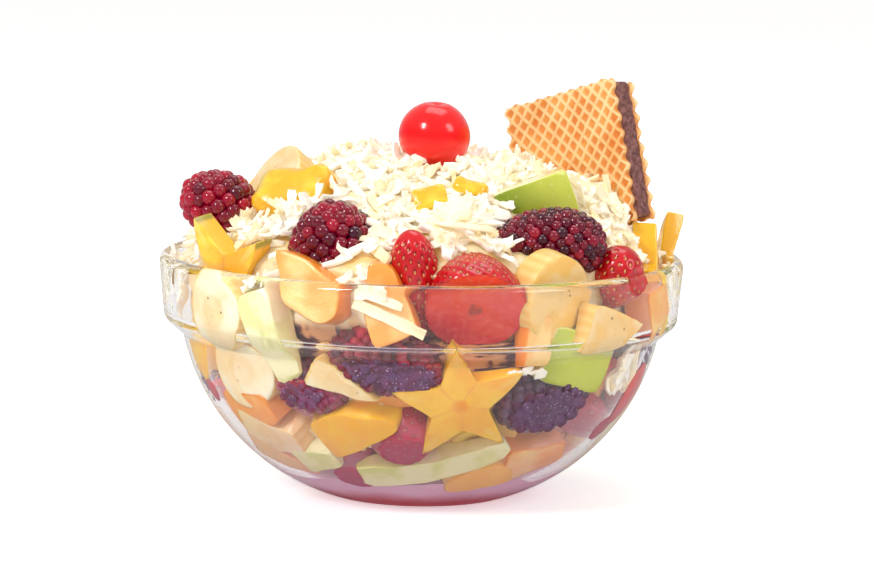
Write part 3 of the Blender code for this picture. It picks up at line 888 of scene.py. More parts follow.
def make_banana_finish():
    material, tree, shader = new_finish("banana", 0.42, coat=0.2, deep=0.45, radius=(1.0, 0.75, 0.4), reach=2.0)
    flesh = use_group(tree, FLESH, Pale=srgb(254, 241, 208), Deep=srgb(244, 194, 100), Grain=0.4, Patch_Size=90.0, Patchy=0.4)
    own = attribute(tree, "own")
    split = add(tree, "SeparateXYZ")
    tree.links.new(own.outputs["Vector"], split.inputs[0])
    turn = calc(tree, "ARCTAN2", split.outputs["Y"], split.outputs["X"])
    square = calc(tree, "MULTIPLY_ADD", split.outputs["X"], split.outputs["X"],
                  calc(tree, "MULTIPLY", split.outputs["Y"], split.outputs["Y"]))
    away = calc(tree, "SQRT", square)
    line = ramp(tree, calc(tree, "COSINE", calc(tree, "MULTIPLY", turn, 3.0)), 0.90, 0.99)
    middle = ramp(tree, away, 0.0045, 0.0062, 1.0, 0.0)
    mark = attribute(tree, "mark")
    face = ramp(tree, mark.outputs["Fac"], 0.2, 0.5, 1.0, 0.0)
    glassy = calc(tree, "MULTIPLY", calc(tree, "MULTIPLY", middle, 0.45), face)
    colour = blend(tree, glassy, flesh.outputs["Color"], srgb(240, 200, 128))
    dots = use_group(tree, SPECKLE, Scale=620.0, Size=0.34)
    seeds = calc(tree, "MULTIPLY", calc(tree, "MULTIPLY", line, middle), calc(tree, "MULTIPLY", dots.outputs["Mask"], face))
    colour = blend(tree, calc(tree, "MULTIPLY", seeds, 0.75), colour, srgb(120, 78, 40))
    ribs = calc(tree, "MULTIPLY_ADD", calc(tree, "SINE", calc(tree, "MULTIPLY", turn, 24.0)), 0.25, 0.6)
    side = blend(tree, ribs, srgb(252, 222, 150), srgb(240, 190, 98))
    colour = blend(tree, ramp(tree, mark.outputs["Fac"], 0.4, 0.9), colour, side)
    colour_through_juice(tree, shader, colour, Amount=0.28, Level=0.024)
    raise_surface(tree, shader, flesh.outputs["Height"], 0.3, 0.4)
    return material


banana_finish = make_banana_finish()
for node, width, thick, azimuth, elevation, bite, out, deepness in (
        ("banana_right", 27, 9, 45, -10, 1.6, 1.2, 0.9), ("banana_left", 25, 8, -60, 38, None, 0, 0.5),
        ("banana_back", 28, 8, 178, 42, None, 0, 0.4)):
    slice_shape = banana_slice(width, thick, seed=len(node), around=56)
    fit_to_node(slice_shape, node, azimuth, elevation, bite=bite, out=out)
    turn_out_one(node + "_flesh", slice_shape, banana_finish, "banana_flesh", node, shade=deepness)

# %% [markdown]
# ## Starfruit
#
# Cut across, the fruit is a star of five arms. Its skin is thin and waxy, with a greener line on
# each ridge. The flesh is glassy, with pale veins from the middle to the arms and the valleys.

# %% Starfruit slices
def star_slice(width, thick, seed=1, around=60):
    shape = slab(star(width / 2), thick, 0.7, around=around, sides=2, face_rings=(0.18, 0.36, 0.55, 0.72, 0.88))
    away = np.hypot(shape.points[:, 0], shape.points[:, 1])
    shape.points[:, 2] *= 1.0 - 0.22 * np.exp(-(away / (0.12 * width)) ** 2)
    shape.keep_own()
    return roughen(shape, 11.0, 0.8, seed)


def make_starfruit_finish():
    material, tree, shader = new_finish("starfruit", 0.25, coat=0.6, deep=0.5, radius=(1.0, 0.6, 0.12), reach=2.5)
    flesh = use_group(tree, FLESH, Pale=srgb(255, 214, 60), Deep=srgb(252, 182, 36), Grain=0.5, Patch_Size=120.0)
    own = attribute(tree, "own")
    split = add(tree, "SeparateXYZ")
    tree.links.new(own.outputs["Vector"], split.inputs[0])
    turn = calc(tree, "ARCTAN2", split.outputs["Y"], split.outputs["X"])
    square = calc(tree, "MULTIPLY_ADD", split.outputs["X"], split.outputs["X"],
                  calc(tree, "MULTIPLY", split.outputs["Y"], split.outputs["Y"]))
    away = calc(tree, "SQRT", square)
    wave = calc(tree, "COSINE", calc(tree, "MULTIPLY", turn, 5.0))
    valley = ramp(tree, wave, -0.90, -0.995)
    middle = ramp(tree, away, 0.0015, 0.0035, 1.0, 0.0)
    vein = calc(tree, "MULTIPLY", ramp(tree, wave, 0.93, 0.99), ramp(tree, away, 0.016, 0.010, 1.0, 0.0))
    colour = blend(tree, calc(tree, "MULTIPLY", vein, 0.4), flesh.outputs["Color"], srgb(255, 226, 128))
    colour = blend(tree, calc(tree, "MULTIPLY", valley, 0.45), colour, srgb(232, 150, 60))
    colour = blend(tree, calc(tree, "MULTIPLY", middle, 0.8), colour, srgb(242, 150, 40))
    mark = attribute(tree, "mark")
    ridge = calc(tree, "MULTIPLY", ramp(tree, away, 0.0200, 0.0218), ramp(tree, mark.outputs["Fac"], 0.3, 0.9))
    skin = blend(tree, ridge, srgb(250, 190, 30), srgb(160, 150, 30))
    colour = blend(tree, ramp(tree, mark.outputs["Fac"], 0.4, 0.9), colour, skin)
    colour_through_juice(tree, shader, colour, Amount=0.15, Level=0.022, Smear=srgb(250, 188, 96), Touch=0.4)
    raise_surface(tree, shader, flesh.outputs["Height"], 0.3, 0.4)
    return material


starfruit_finish = make_starfruit_finish()
for node, width, thick, azimuth, elevation, spin, bite, out, shift in (
        ("starfruit_left", 50, 8, -40, -7, 42, -2.8, 0.0, (-1.0, -0.8, -4.8)),
        ("starfruit_right", 43, 7.6, 88, 2, 90, 0.6, 0.5, (0, 0, 0)),
        ("starfruit_side", 43, 6, 98, -12, 90, 0.9, 1.0, (0, 0, 0)), ("starfruit_back", 42, 7, 128, 34, 0, 0.5, 0.5, (0, 0, 0))):
    star_shape = star_slice(width, thick, seed=int(width) + len(node), around=80)
    fit_to_node(star_shape, node, azimuth, elevation, spin, bite, out, shift)
    turn_out_one(node + "_flesh", star_shape, starfruit_finish, "starfruit_yellow", node, shade=0.5)

# %% [markdown]
# ## Apple
#
# A wedge keeps its green skin on the round back, and every cut side shows cream flesh. The skin
# runs from deep green to yellow-green with small pale dots. On a real apple it is the glossiest
# surface of the piece, but this finish gives skin and flesh the same gloss.

# %% Apple wedges
def apple_piece(length, tall, deep, seed=1, around=48, curve=0.012):
    cuts = [(0, length / 2), (90, tall / 2), (180, length / 2), (270, tall / 2)]
    shape = slab(between_cuts(*cuts, crisp=14), deep, 0.5, around=around, dome=curve)
    skin = np.where(shape.points[:, 2] > deep / 2 - 0.6 - curve * 240, 1.0, 0.0)
    shape.mark = np.where(shape.mark < 0.5, skin, 0.0)
    return roughen(shape, 12.0, 0.5, seed)


def make_apple_finish():
    material, tree, shader = new_finish("apple", 0.25, coat=0.5, deep=0.2, radius=(1.0, 0.9, 0.3), reach=1.4)
    flesh = use_group(tree, FLESH, Pale=srgb(250, 242, 196), Deep=srgb(222, 222, 128), Grain=0.4, Patch_Size=100.0)
    own = attribute(tree, "own")
    split = add(tree, "SeparateXYZ")
    tree.links.new(own.outputs["Vector"], split.inputs[0])
    drift = calc(tree, "MULTIPLY_ADD", noise_of(tree, own.outputs["Vector"], 120.0), 0.012, split.outputs["X"])
    drift = calc(tree, "MULTIPLY_ADD", attribute(tree, "shade").outputs["Fac"], 0.02, calc(tree, "SUBTRACT", drift, 0.006))
    skin = blend(tree, ramp(tree, drift, -0.010, 0.016), srgb(122, 146, 10), srgb(206, 212, 76))
    dots = use_group(tree, SPECKLE, Scale=330.0, Size=0.16)
    skin = blend(tree, calc(tree, "MULTIPLY", dots.outputs["Mask"], 0.35), skin, srgb(232, 232, 160))
    mark = attribute(tree, "mark")
    colour = blend(tree, ramp(tree, mark.outputs["Fac"], 0.3, 0.7), flesh.outputs["Color"], skin)
    colour_through_juice(tree, shader, colour, Amount=0.25, Level=0.022, Juice=srgb(232, 220, 178))
    raise_surface(tree, shader, flesh.outputs["Height"], 0.2, 0.3)
    return material


def peeled(shape):
    shape.mark = np.zeros(len(shape.points))
    return shape


apple_finish = make_apple_finish()
apple_shape = apple_piece(26, 14.5, 12, seed=4, around=72)
fit_to_node(apple_shape, "apple_top", 14, 4, 20, shift=(-2.8, -1.0, -1.0))
turn_out_one("apple_top_wedge", apple_shape, apple_finish, "apple_green", "apple_top", shade=0.3)

# %% [markdown]
# ## Strawberries
#
# The skin is dimpled, with a seed in each dimple. The seeds stand in a golden-angle spiral, the
# way that plants pack them, so a formula places them. A cut berry is the same ball with all that
# lies past the cut brought down onto it, which leaves a flat face with a rim of skin.

# %% Strawberry shapes
GOLDEN_TURN = pi * (3 - sqrt(5))


def spiral(count):
    """directions spread evenly over a ball, in a golden-angle spiral"""
    level = 1 - (2 * np.arange(count) + 1) / count
    turn = np.arange(count) * GOLDEN_TURN
    ring = np.sqrt(1 - level ** 2)
    return np.stack([ring * np.cos(turn), ring * np.sin(turn), level], axis=-1)


def berry_girth(level):
    """how wide a strawberry is at each level, from its shoulder at 1 to its tip at -1"""
    return np.where(level < 0.6, 1.0 - 0.20 * (0.6 - level) ** 2, 1.0)


def strawberry(length, width, cut=None, cut_at=0.12, seeds=130, across=84, along=56, seed=1):
    shape = ball(across, along)
    places = spiral(seeds)
    places = places[places[:, 2] < 0.86]
    gap = np.linalg.norm(shape.points[:, None, :] - places[None], axis=2)
    dimple = np.exp(-(gap.min(axis=1) / (1.15 / sqrt(seeds))) ** 2)
    size = np.array([width / 2, width / 2, length / 2])
    girth = berry_girth(shape.points[:, 2])
    # mark holds each point's dimple depth; the finish paints shade into the dimples from it
    shape.mark = -dimple
    shape.points *= (1 - 0.045 * dimple)[:, None] * np.stack([girth, girth, np.ones_like(girth)], axis=-1) * size
    seat = places * np.stack([berry_girth(places[:, 2])] * 2 + [np.ones(len(places))], axis=-1) * size * 0.965
    turn = np.array(Matrix.Rotation(radians(90), 3, "Y")) if cut == "along" else np.eye(3)
    shape.points = shape.points @ turn.T
    seat, leaning = seat @ turn.T, places @ turn.T
    if cut:
        level = 0.0 if cut == "along" else cut_at * length
        over = np.maximum(0.0, shape.points[:, 2] - level)
        shape.mark = np.where(over > 0, 1.0 + 0.4 * over / over.max(), shape.mark)
        shape.points[:, 2] -= over
        keep = seat[:, 2] < level - 0.6
        seat, leaning = seat[keep], leaning[keep]
    roughen(shape, 12.0, 0.6, seed)
    shape.keep_own()
    return with_seeds(shape, seat, leaning)


def with_seeds(shape, seat, leaning):
    """set a small flat seed in each dimple"""
    grain = ball(6, 4)
    for place, out in zip(seat, leaning):
        axis = Vector(out).to_track_quat("Z", "Y").to_matrix()
        points = (grain.points * (0.42, 0.68, 0.30)) @ np.array(axis).T + place
        shape.faces = shape.faces + [tuple(c + len(shape.points) for c in face) for face in grain.faces]
        shape.points = np.concatenate([shape.points, points])
        shape.mark = np.concatenate([shape.mark, np.full(len(points), 3.0)])
        shape.own = np.concatenate([shape.own, points])
    shape.touch = np.zeros(len(shape.points))
    return shape


def make_strawberry_finish():
    material, tree, shader = new_finish("strawberry", 0.24, specular=0.3, coat=0.6, deep=0.35, radius=(1.0, 0.25, 0.12), reach=2.0)
    own = attribute(tree, "own")
    mark = attribute(tree, "mark")
    patch = noise_of(tree, own.outputs["Vector"], 140.0)
    skin = blend(tree, ramp(tree, patch, 0.35, 0.65), srgb(190, 4, 20), srgb(214, 18, 30))
    # painted shade: the skin turns darker red in its dimples
    skin = blend(tree, ramp(tree, mark.outputs["Fac"], -0.25, -0.95, 0.0, 0.8), skin, srgb(128, 4, 18))
    grain = noise_of(tree, own.outputs["Vector"], 420.0, detail=4.0)
    split = add(tree, "SeparateXYZ")
    tree.links.new(own.outputs["Vector"], split.inputs[0])
    # painted highlight: the cut face runs from deep red at its foot to bright orange at its top edge, along the berry's
    # own +Y
    wavy = calc(tree, "MULTIPLY_ADD", patch, 0.008, split.outputs["Y"])
    flesh = blend(tree, ramp(tree, wavy, -0.008, 0.014), srgb(212, 30, 46), srgb(246, 66, 36))
    flesh = blend(tree, ramp(tree, mark.outputs["Fac"], 1.01, 1.08, 0.8, 0.0), flesh, srgb(190, 16, 30))
    flesh = blend(tree, ramp(tree, grain, 0.45, 0.66, 0.0, 0.3), flesh, srgb(246, 112, 96))
    # painted shade: a small hollow in the middle of the flat cut face is drawn dark red instead of modelled
    pit = calc(tree, "MULTIPLY_ADD", grain, 0.03, mark.outputs["Fac"])
    shaded_hollow = ramp(tree, pit, 1.408, 1.414)
    flesh = blend(tree, calc(tree, "MULTIPLY", shaded_hollow, 0.7), flesh, srgb(140, 20, 26))
    colour = blend(tree, ramp(tree, mark.outputs["Fac"], 0.7, 1.0), skin, flesh)
    colour = blend(tree, ramp(tree, mark.outputs["Fac"], 2.0, 2.6), colour, srgb(226, 142, 84))
    colour_through_juice(tree, shader, colour, Amount=0.7, Level=0.036, Juice=srgb(172, 84, 122),
                         Smear=srgb(214, 58, 76), Touch=0.25)
    raise_surface(tree, shader, grain, 0.25, 0.4)
    return material


strawberry_finish = make_strawberry_finish()
for node, length, width, cut, azimuth, elevation, spin, bite, out, shift in (
        ("strawberry_front", 40, 33, "across", 4, -36, 0, 1.5, 2.0, (0.5, -1, 0.8)),
        ("strawberry_centre", 36, 17, None, -25, 74, 0, None, 0, (-0.5, -7, -8)),
        ("strawberry_right", 22, 17, None, 60, 70, 0, 0.9, 0.5, (-0.5, 0, 0)),
        ("strawberry_back", 34, 27, "along", 160, 50, 40, 0.5, 0, (0, 0, 0))):
    berry_shape = strawberry(length, width, cut, seeds=int(length * width / 2.8), across=126, along=84, seed=len(node))
    fit_to_node(berry_shape, node, azimuth, elevation, spin, bite, out, shift)
    turn_out_one(node + "_berry", berry_shape, strawberry_finish, "strawberry_red", node, shade=0.5)

# %% [markdown]
# ## Brambles
#
# A bramble is a cluster of round drupelets, each a small fruit of its own. They sit in the same
# spiral, on a berry that narrows to its tip. Each has its own ripeness, from bright red to nearly
# black, and the berry's inside is painted nearly black as shade, so that the gaps between drupelets read as deep.

# %% Bramble shapes
def bramble(length, width, taper, size=3.7, ripe=0.5, fine=(10, 7), seed=1):
    dice = np.random.default_rng(seed)
    area = pi * ((length + width) / 2 - size * 0.6) ** 2
    count = int(area / (0.80 * size ** 2))
    out = spiral(count) + dice.normal(0, 0.02, (count, 3))
    out /= np.linalg.norm(out, axis=1)[:, None]
    narrow = 1 - taper * (out[:, 2] + 1) / 2
    half = np.array([width / 2, width / 2, length / 2]) - size * 0.42
    seat = out * np.stack([narrow, narrow, np.ones(count)], axis=-1) * half
    lean = out / half
    lean /= np.linalg.norm(lean, axis=1)[:, None]
    drop = ball(*fine)
    points, faces, mark = [], [], []
    for place, way, thin in zip(seat, lean, narrow):
        radius = size * 0.60 * (0.75 + 0.25 * thin) * dice.uniform(0.88, 1.10)
        axis = np.array(Vector(way).to_track_quat("Z", "Y").to_matrix())
        drupelet = (drop.points * (1.0, 1.0, 1.12)) @ axis.T * radius + place
        faces += [tuple(c + len(points) * len(drupelet) for c in face) for face in drop.faces]
        points.append(drupelet)
        mark.append(np.full(len(drupelet), np.clip(dice.normal(ripe, 0.13), 0.0, 1.0)))
    # the heart, marked -1, is painted nearly black by the finish, as shade in the gaps between drupelets
    heart = ball(16, 10)
    heart_narrow = 1 - taper * (heart.points[:, 2:] + 1) / 2
    heart.points = heart.points * (half - 0.4) * np.concatenate([heart_narrow, heart_narrow, np.ones_like(heart_narrow)], 1)
    points = np.concatenate([*points, heart.points])
    start = len(points) - len(heart.points)
    faces += [tuple(c + start for c in face) for face in heart.faces]
    return Shape(points, faces, np.concatenate([*mark, np.full(len(heart.points), -1.0)]))


def make_bramble_finish():
    material, tree, shader = new_finish("bramble", 0.18, specular=0.25, coat=0.7, coat_rough=0.04, deep=0.25, radius=(1.0, 0.12, 0.2), reach=1.5)
    mark = attribute(tree, "mark")
    colour = blend(tree, ramp(tree, mark.outputs["Fac"], 0.15, 0.95), srgb(60, 0, 28), srgb(180, 6, 44))
    # painted shade: the heart, marked -1, is nearly black, so the gaps between drupelets look deep
    colour = blend(tree, ramp(tree, mark.outputs["Fac"], 0.0, -0.5), colour, srgb(42, 4, 16))
    own = attribute(tree, "own")
    mottle = noise_of(tree, own.outputs["Vector"], 380.0, detail=3.0, rough=0.6)
    smear = blend(tree, ramp(tree, mottle, 0.42, 0.60), srgb(112, 66, 118), srgb(70, 14, 50))
    # painted highlight: pale lilac dots on the smeared part are small bubbles in the juice, drawn as the glints they
    # catch
    bubble_glints = use_group(tree, SPECKLE, Scale=620.0, Size=0.24)
    smear = blend(tree, bubble_glints.outputs["Mask"], smear, srgb(206, 170, 206))
    colour_through_juice(tree, shader, colour, Amount=0.5, Level=0.045, Juice=srgb(104, 44, 104),
                         Smear=smear, Touch=0.75)
    raise_surface(tree, shader, noise_of(tree, own.outputs["Vector"], 500.0), 0.12, 0.3)
    return material


bramble_finish = make_bramble_finish()
for node, length, width, taper, size, azimuth, elevation, ripe, shift in (
        ("bramble_front", 25, 31, 0.34, 4.7, -15, 62, 0.50, (0.5, 0, -2)),
        ("bramble_right", 36, 25, 0.32, 3.7, -72, 6, 0.42, (-1, 0, 0)),
        ("bramble_left", 25, 23, 0.20, 4.5, -75, 25, 0.62, (0, 0, -2.5)),
        ("bramble_back", 28, 23, 0.30, 4.5, 200, 30, 0.45, (0, 0, 0))):
    bramble_shape = bramble(length, width, taper, size=size, ripe=ripe, fine=(12, 8), seed=length)
    fit_to_node(bramble_shape, node, azimuth, elevation, shift=shift)
    turn_out_one(node + "_berry", bramble_shape, bramble_finish, "bramble_dark", node, sharp=80)

# %% [markdown]
# ## The cherry
#
# A glazed cherry has soaked in syrup: its own colour is even and very bright, its skin taut and shiny,
# and light goes deep into it. So most of its red comes from subsurface light, and its lower part is
# painted paler and more orange, as light that shines through it.

# %% Cherry
def make_cherry():
    shape = ball(72, 48)
    low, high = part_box("cherry")
    width = (high.x - low.x) / MM
    away = np.hypot(shape.points[:, 0], shape.points[:, 1])
    dimple = np.maximum(0.0, 1 - away / 0.42) ** 2 * (shape.points[:, 2] > 0)
    shape.points[:, 2] -= dimple * 0.13
    shape.points *= np.array([1.0, 1.0, 0.96]) * width / 2
    roughen(shape, 16.0, 0.35, 2)
    shape.keep_own()
    fit_to_node(shape, "cherry", 30, 82)
    material, tree, shader = new_finish("cherry", 0.2, specular=0.35, coat=0.45, coat_rough=0.05, deep=0.8, radius=(1.0, 0.06, 0.05), reach=5.0)
    split = add(tree, "SeparateXYZ")
    own = attribute(tree, "own")
    tree.links.new(own.outputs["Vector"], split.inputs[0])
    wave = noise_of(tree, own.outputs["Vector"], 120.0, detail=2.0)
    # painted light: the lower part is paler and more orange, as light shining through the cherry
    drift = calc(tree, "MULTIPLY_ADD", wave, 0.006, split.outputs["Z"])
    colour = blend(tree, ramp(tree, drift, -0.010, 0.004), srgb(250, 62, 50), srgb(238, 8, 14))
    tree.links.new(colour, shader.inputs["Base Color"])
    raise_surface(tree, shader, wave, 0.15, 1.0)
    return turn_out_one("cherry_glazed", shape, material, "cherry_red", "cherry")


make_cherry()

# %% [markdown]
# ## The wafer
#
# Two sheets are baked between hot plates that press a diamond lattice into them, with chocolate
# cream between. The lattice is a formula of the two diagonal directions: high on its lines, low in
# its cells. The same height tells the finish where the sheet is pale, on the lines, and where it is browner with
# painted shade, in the cells.

# %% Wafer sheets
WAFER_WIDTH = 52.0
WAFER_HEIGHT = 46.0
WAFER_SHEET = 1.5
WAFER_RELIEF = 0.8
LATTICE = 5.3
WAFER_STAND = (50.7, 4.0, 108.0)
WAFER_AZIMUTH = -47.5
WAFER_TILT = 15.3
CREAM_THICK = 4.8
SHORT_FRONT = 1.4
SHORT_BACK = 2.0


def lattice_height(x, z):
    """1 on the lattice's lines and 0 in the middle of its cells"""
    lines = []
    for way in (1, -1):
        share = (x + way * z) / LATTICE
        lines.append(np.abs(2 * (share - np.floor(share)) - 1))
    return np.maximum(*lines) ** 2.6


def sheet(side, seed):
    """a sheet with its lattice outward, towards -Y or +Y as side says"""
    wide, tall = 104, 92
    x, z = np.meshgrid(np.linspace(-0.5, 0.5, wide + 1), np.linspace(-0.5, 0.5, tall + 1))
    x, z = x * WAFER_WIDTH, z * WAFER_HEIGHT
    raised = lattice_height(x, z)
    tear = np.reshape([noise.noise(Vector((a / 6, b / 5, seed))) for a, b in zip(x.ravel(), z.ravel())], x.shape)
    wave_x = (0.55 * np.cos(2 * pi * z / LATTICE) + 0.9 * tear) * (np.abs(x) / (WAFER_WIDTH / 2)) ** 14 * np.sign(x)
    wave_z = (0.40 * np.cos(2 * pi * x / LATTICE) + 0.5 * tear) * (np.abs(z) / (WAFER_HEIGHT / 2)) ** 14 * np.sign(z)
    wave_x -= (1.4 - 1.2 * z / (WAFER_HEIGHT / 2)) * np.maximum(0.0, -x / (WAFER_WIDTH / 2)) ** 4
    if side < 0:
        wave_x -= np.maximum(0.0, x / WAFER_WIDTH) * 2 * SHORT_FRONT
    else:
        wave_z -= np.maximum(0.0, z / WAFER_HEIGHT) * 2 * SHORT_BACK
    y = side * (WAFER_SHEET / 2 - 0.5 * WAFER_RELIEF + WAFER_RELIEF * raised)
    front = np.stack([x + wave_x, y, z + wave_z], axis=-1).reshape(-1, 3)
    back = front.copy()
    back[:, 1] = -side * WAFER_SHEET / 2
    row = wide + 1
    border = [*range(row), *range(2 * row - 1, row * tall, row), *range(row * (tall + 1) - 1, row * tall - 1, -1),
              *range(row * (tall - 1), 0, -row)]
    points = np.concatenate([front, back[border]])
    faces = []
    for j in range(tall):
        for i in range(wide):
            a = j * row + i
            faces.append((a, a + 1, a + 1 + row, a + row))
    start, count = len(front), len(border)
    for k in range(count):
        n = (k + 1) % count
        faces.append((border[n], border[k], start + k, start + n))
    faces.append(tuple(start + k for k in range(count - 1, -1, -1)))
    if side > 0:
        faces = [face[::-1] for face in faces]
    mark = np.concatenate([raised.ravel(), np.full(count, 0.35)])
    return roughen(Shape(points, faces, mark), 2.2, 0.16, seed)


def stand_wafer(shape, shift):
    """move a piece of the wafer to where the wafer stands, shift along its thickness"""
    turn = Matrix.Rotation(radians(WAFER_AZIMUTH), 3, "Z") @ Matrix.Rotation(radians(-WAFER_TILT), 3, "Y")
    shape.keep_own()
    shape.points = (shape.points + np.array([0.0, shift, 0.0])) @ np.array(turn).T + np.array(WAFER_STAND)
    return shape


def make_wafer_finish():
    material, tree, shader = new_finish("wafer", 0.62, specular=0.3, deep=0.15, radius=(1.0, 0.6, 0.3), reach=1.0)
    own = attribute(tree, "own")
    mark = attribute(tree, "mark")
    toast = noise_of(tree, own.outputs["Vector"], 75.0, detail=3.0)
    # painted shade: the lattice's cells are browner than its raised lines; toast adds random toasted patches to both
    shaded_hollow = blend(tree, ramp(tree, toast, 0.35, 0.65), srgb(240, 168, 88), srgb(222, 130, 58))
    line = blend(tree, ramp(tree, toast, 0.40, 0.75), srgb(254, 222, 164), srgb(246, 190, 118))
    colour = blend(tree, ramp(tree, mark.outputs["Fac"], 0.15, 0.70), shaded_hollow, line)
    crumb = noise_of(tree, own.outputs["Vector"], 1400.0, detail=3.0)
    colour = blend(tree, ramp(tree, crumb, 0.58, 0.75, 0.0, 0.35), colour, srgb(206, 112, 52))
    tree.links.new(colour, shader.inputs["Base Color"])
    raise_surface(tree, shader, crumb, 0.6, 0.35)
    return material


def make_cream():
    shape = slab(between_cuts((0, WAFER_WIDTH / 2 - 0.2), (90, WAFER_HEIGHT / 2 - 1.0), (180, WAFER_WIDTH / 2 - 1.0),
                              (270, WAFER_HEIGHT / 2 - 1.0), crisp=60), CREAM_THICK, 0.3, around=180, sides=8, face_rings=(0.9,))
    roughen(shape, 1.6, 0.42, 5)
    roughen(shape, 5.0, 0.35, 6)
    shape.points = shape.points @ np.array(Matrix.Rotation(radians(90), 3, "X")).T
    material, tree, shader = new_finish("chocolate_cream", 0.55, specular=0.35, deep=0.1, radius=(1.0, 0.5, 0.4), reach=0.8)
    own = attribute(tree, "own")
    crumb = noise_of(tree, own.outputs["Vector"], 700.0, detail=4.0)
    colour = blend(tree, ramp(tree, crumb, 0.3, 0.7), srgb(92, 54, 50), srgb(146, 98, 92))
    tree.links.new(colour, shader.inputs["Base Color"])
    raise_surface(tree, shader, crumb, 0.8, 0.5)
    return turn_out_one("wafer_filling", stand_wafer(shape, 0.0), material, "chocolate_cream", "wafer_cream")


wafer_finish = make_wafer_finish()
sheet_shift = CREAM_THICK / 2 + WAFER_SHEET / 2
for node, side in (("wafer_sheet_front", -1), ("wafer_sheet_back", 1)):
    shape = stand_wafer(sheet(side, 8 + side), side * sheet_shift)
    turn_out_one(node + "_baked", shape, wafer_finish, "wafer_baked", node, sharp=60)
make_cream()

# %% [markdown]
# ## The heap's core and the juice
#
# What the fruit hides is one plain core. Under the glass it stays a little inside the wall, so
# that the pieces in front of it can lie against the glass, and on top it is the bed that the
# cheese lies on. A red juice has gathered at the bottom, and reaches just into the wall.

# %% Core
HEAP_EDGE = 71.0
HEAP_RISE = 37.0
HEAP_SLOPE = 2.1
CHERRY_SEAT = (1.0, -24.0, 13.0, 6.0)
HEAP_LUMP = 14.0
CORE_GAP = 9.5


def surfaces(*names):
    """a tree of the faces of some pieces, in millimetres, for rays to find"""
    points, faces = [], []
    for name in names:
        mesh = bpy.data.objects[name].data
        start = len(points)
        points += [point.co / MM for point in mesh.vertices]
        faces += [tuple(corner + start for corner in face.vertices) for face in mesh.polygons]
    return BVHTree.FromPolygons(points, faces)


TOPPINGS = [piece.name for piece in scene.objects if piece.get("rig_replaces") and piece.name != "glass_bowl"]
topping_tree = surfaces(*TOPPINGS)
FAR_OUT = 120.0
FRUIT_BED = 3.0


def large_fruit_at(azimuth, rise):
    """how far from the bowl's axis large fruit shows, seen level from outside; FAR_OUT where there is none"""
    out = radians(azimuth)
    way = Vector((sin(out), -cos(out), 0.0))
    hit = topping_tree.ray_cast(way * FAR_OUT + Vector((0.0, 0.0, rise)), -way)[0]
    return FAR_OUT if hit is None or hit.xy.dot(way.xy) < 0 else hit.xy.length


def heap_height(x, y):
    """the uneven top of the core over a point of the bowl"""
    far = np.minimum(1.0, np.hypot(x, y) / (BOWL_RADIUS - BAND_WALL))
    smooth = HEAP_EDGE + HEAP_RISE * (1 - far ** HEAP_SLOPE)
    seat_x, seat_y, seat_wide, seat_deep = CHERRY_SEAT
    smooth -= seat_deep * np.exp(-((x - seat_x) ** 2 + (y - seat_y) ** 2) / seat_wide ** 2)
    lumps = [noise.noise(Vector((a, b, 0.0)) / HEAP_LUMP) for a, b in zip(np.ravel(x), np.ravel(y))]
    fine = [noise.noise(Vector((a, b, 40.0)) / 5.0) for a, b in zip(np.ravel(x), np.ravel(y))]
    return smooth + (4.0 * np.reshape(lumps, np.shape(x)) + 1.2 * np.reshape(fine, np.shape(x))) * (1 - far ** 8)


def make_core():
    around = 144
    turn = np.arange(around) / around * 2 * pi
    top_far = np.linspace(3.0, BOWL_RADIUS - BAND_WALL - CORE_GAP, 34)
    rings = []
    for far in top_far:
        x, y = far * np.sin(turn), -far * np.cos(turn)
        rings.append(np.stack([x, y, heap_height(x, y)], axis=-1))
    for rise in np.linspace(HEAP_EDGE - 2.5, FLOOR + 3.0, 34):
        lump = np.array([noise.noise(Vector((sin(a) * 9, cos(a) * 9, rise / 8))) for a in turn])
        fine = np.array([noise.noise(Vector((sin(a) * 24, cos(a) * 24, rise / 3))) for a in turn])
        gap = np.interp(rise, (8.0, 24.0), (1.0, CORE_GAP))
        far = np.interp(rise, inner_rise, inner_reach) - gap + gap / CORE_GAP * (2.4 * lump + 0.7 * fine)
        fruit = np.array([min(large_fruit_at(degrees(angle) + side, rise) for side in (-4, 0, 4)) for angle in turn])
        far = np.minimum(far, fruit - FRUIT_BED)
        rings.append(np.stack([far * np.sin(turn), -far * np.cos(turn), np.full(around, rise)], axis=-1))
    marks = [0.0] * len(top_far) + list(np.interp(np.linspace(HEAP_EDGE - 2.5, FLOOR + 3.0, 34), (60.0, 66.0), (1.0, 0.0)))
    shape = from_rings(np.array(rings), (0, 0, float(heap_height(0.0, 0.0))), (0, 0, FLOOR + 3.0), marks)
    shape.faces = skin_faces(len(rings), around)
    press(shape.points, 0.0)
    material, tree, shader = new_finish("core", 0.4, coat=0.3, deep=0.4, radius=(1.0, 0.7, 0.4), reach=2.0)
    own = attribute(tree, "own")
    mark = attribute(tree, "mark")
    lumps = noise_of(tree, own.outputs["Vector"], 70.0, detail=2.0)
    spots = noise_of(tree, own.outputs["Vector"], 130.0, detail=2.0)
    # the bed under the cheese is fruit and cheese, and its deep yellow is partly painted shade: it shows between the
    # shreds as their warm shadows
    bed = blend(tree, ramp(tree, spots, 0.45, 0.62), srgb(255, 238, 198), srgb(255, 216, 146))
    # the sides are a mush of hidden fruit with dark purple spots of crushed berries, kept darker than the pieces as
    # painted shade in the gaps between them
    fruit = blend(tree, ramp(tree, lumps, 0.42, 0.52), srgb(204, 122, 66), srgb(222, 160, 104))
    fruit = blend(tree, ramp(tree, spots, 0.48, 0.56), fruit, srgb(96, 30, 50))
    colour = blend(tree, ramp(tree, mark.outputs["Fac"], 0.2, 0.8), bed, fruit)
    colour_through_juice(tree, shader, colour, Amount=0.85, Level=0.030, Juice=srgb(214, 150, 178))
    raise_surface(tree, shader, spots, 0.5, 1.5)
    return turn_out_one("heap_core", shape, material, "grated_cheese", "salad_heap")


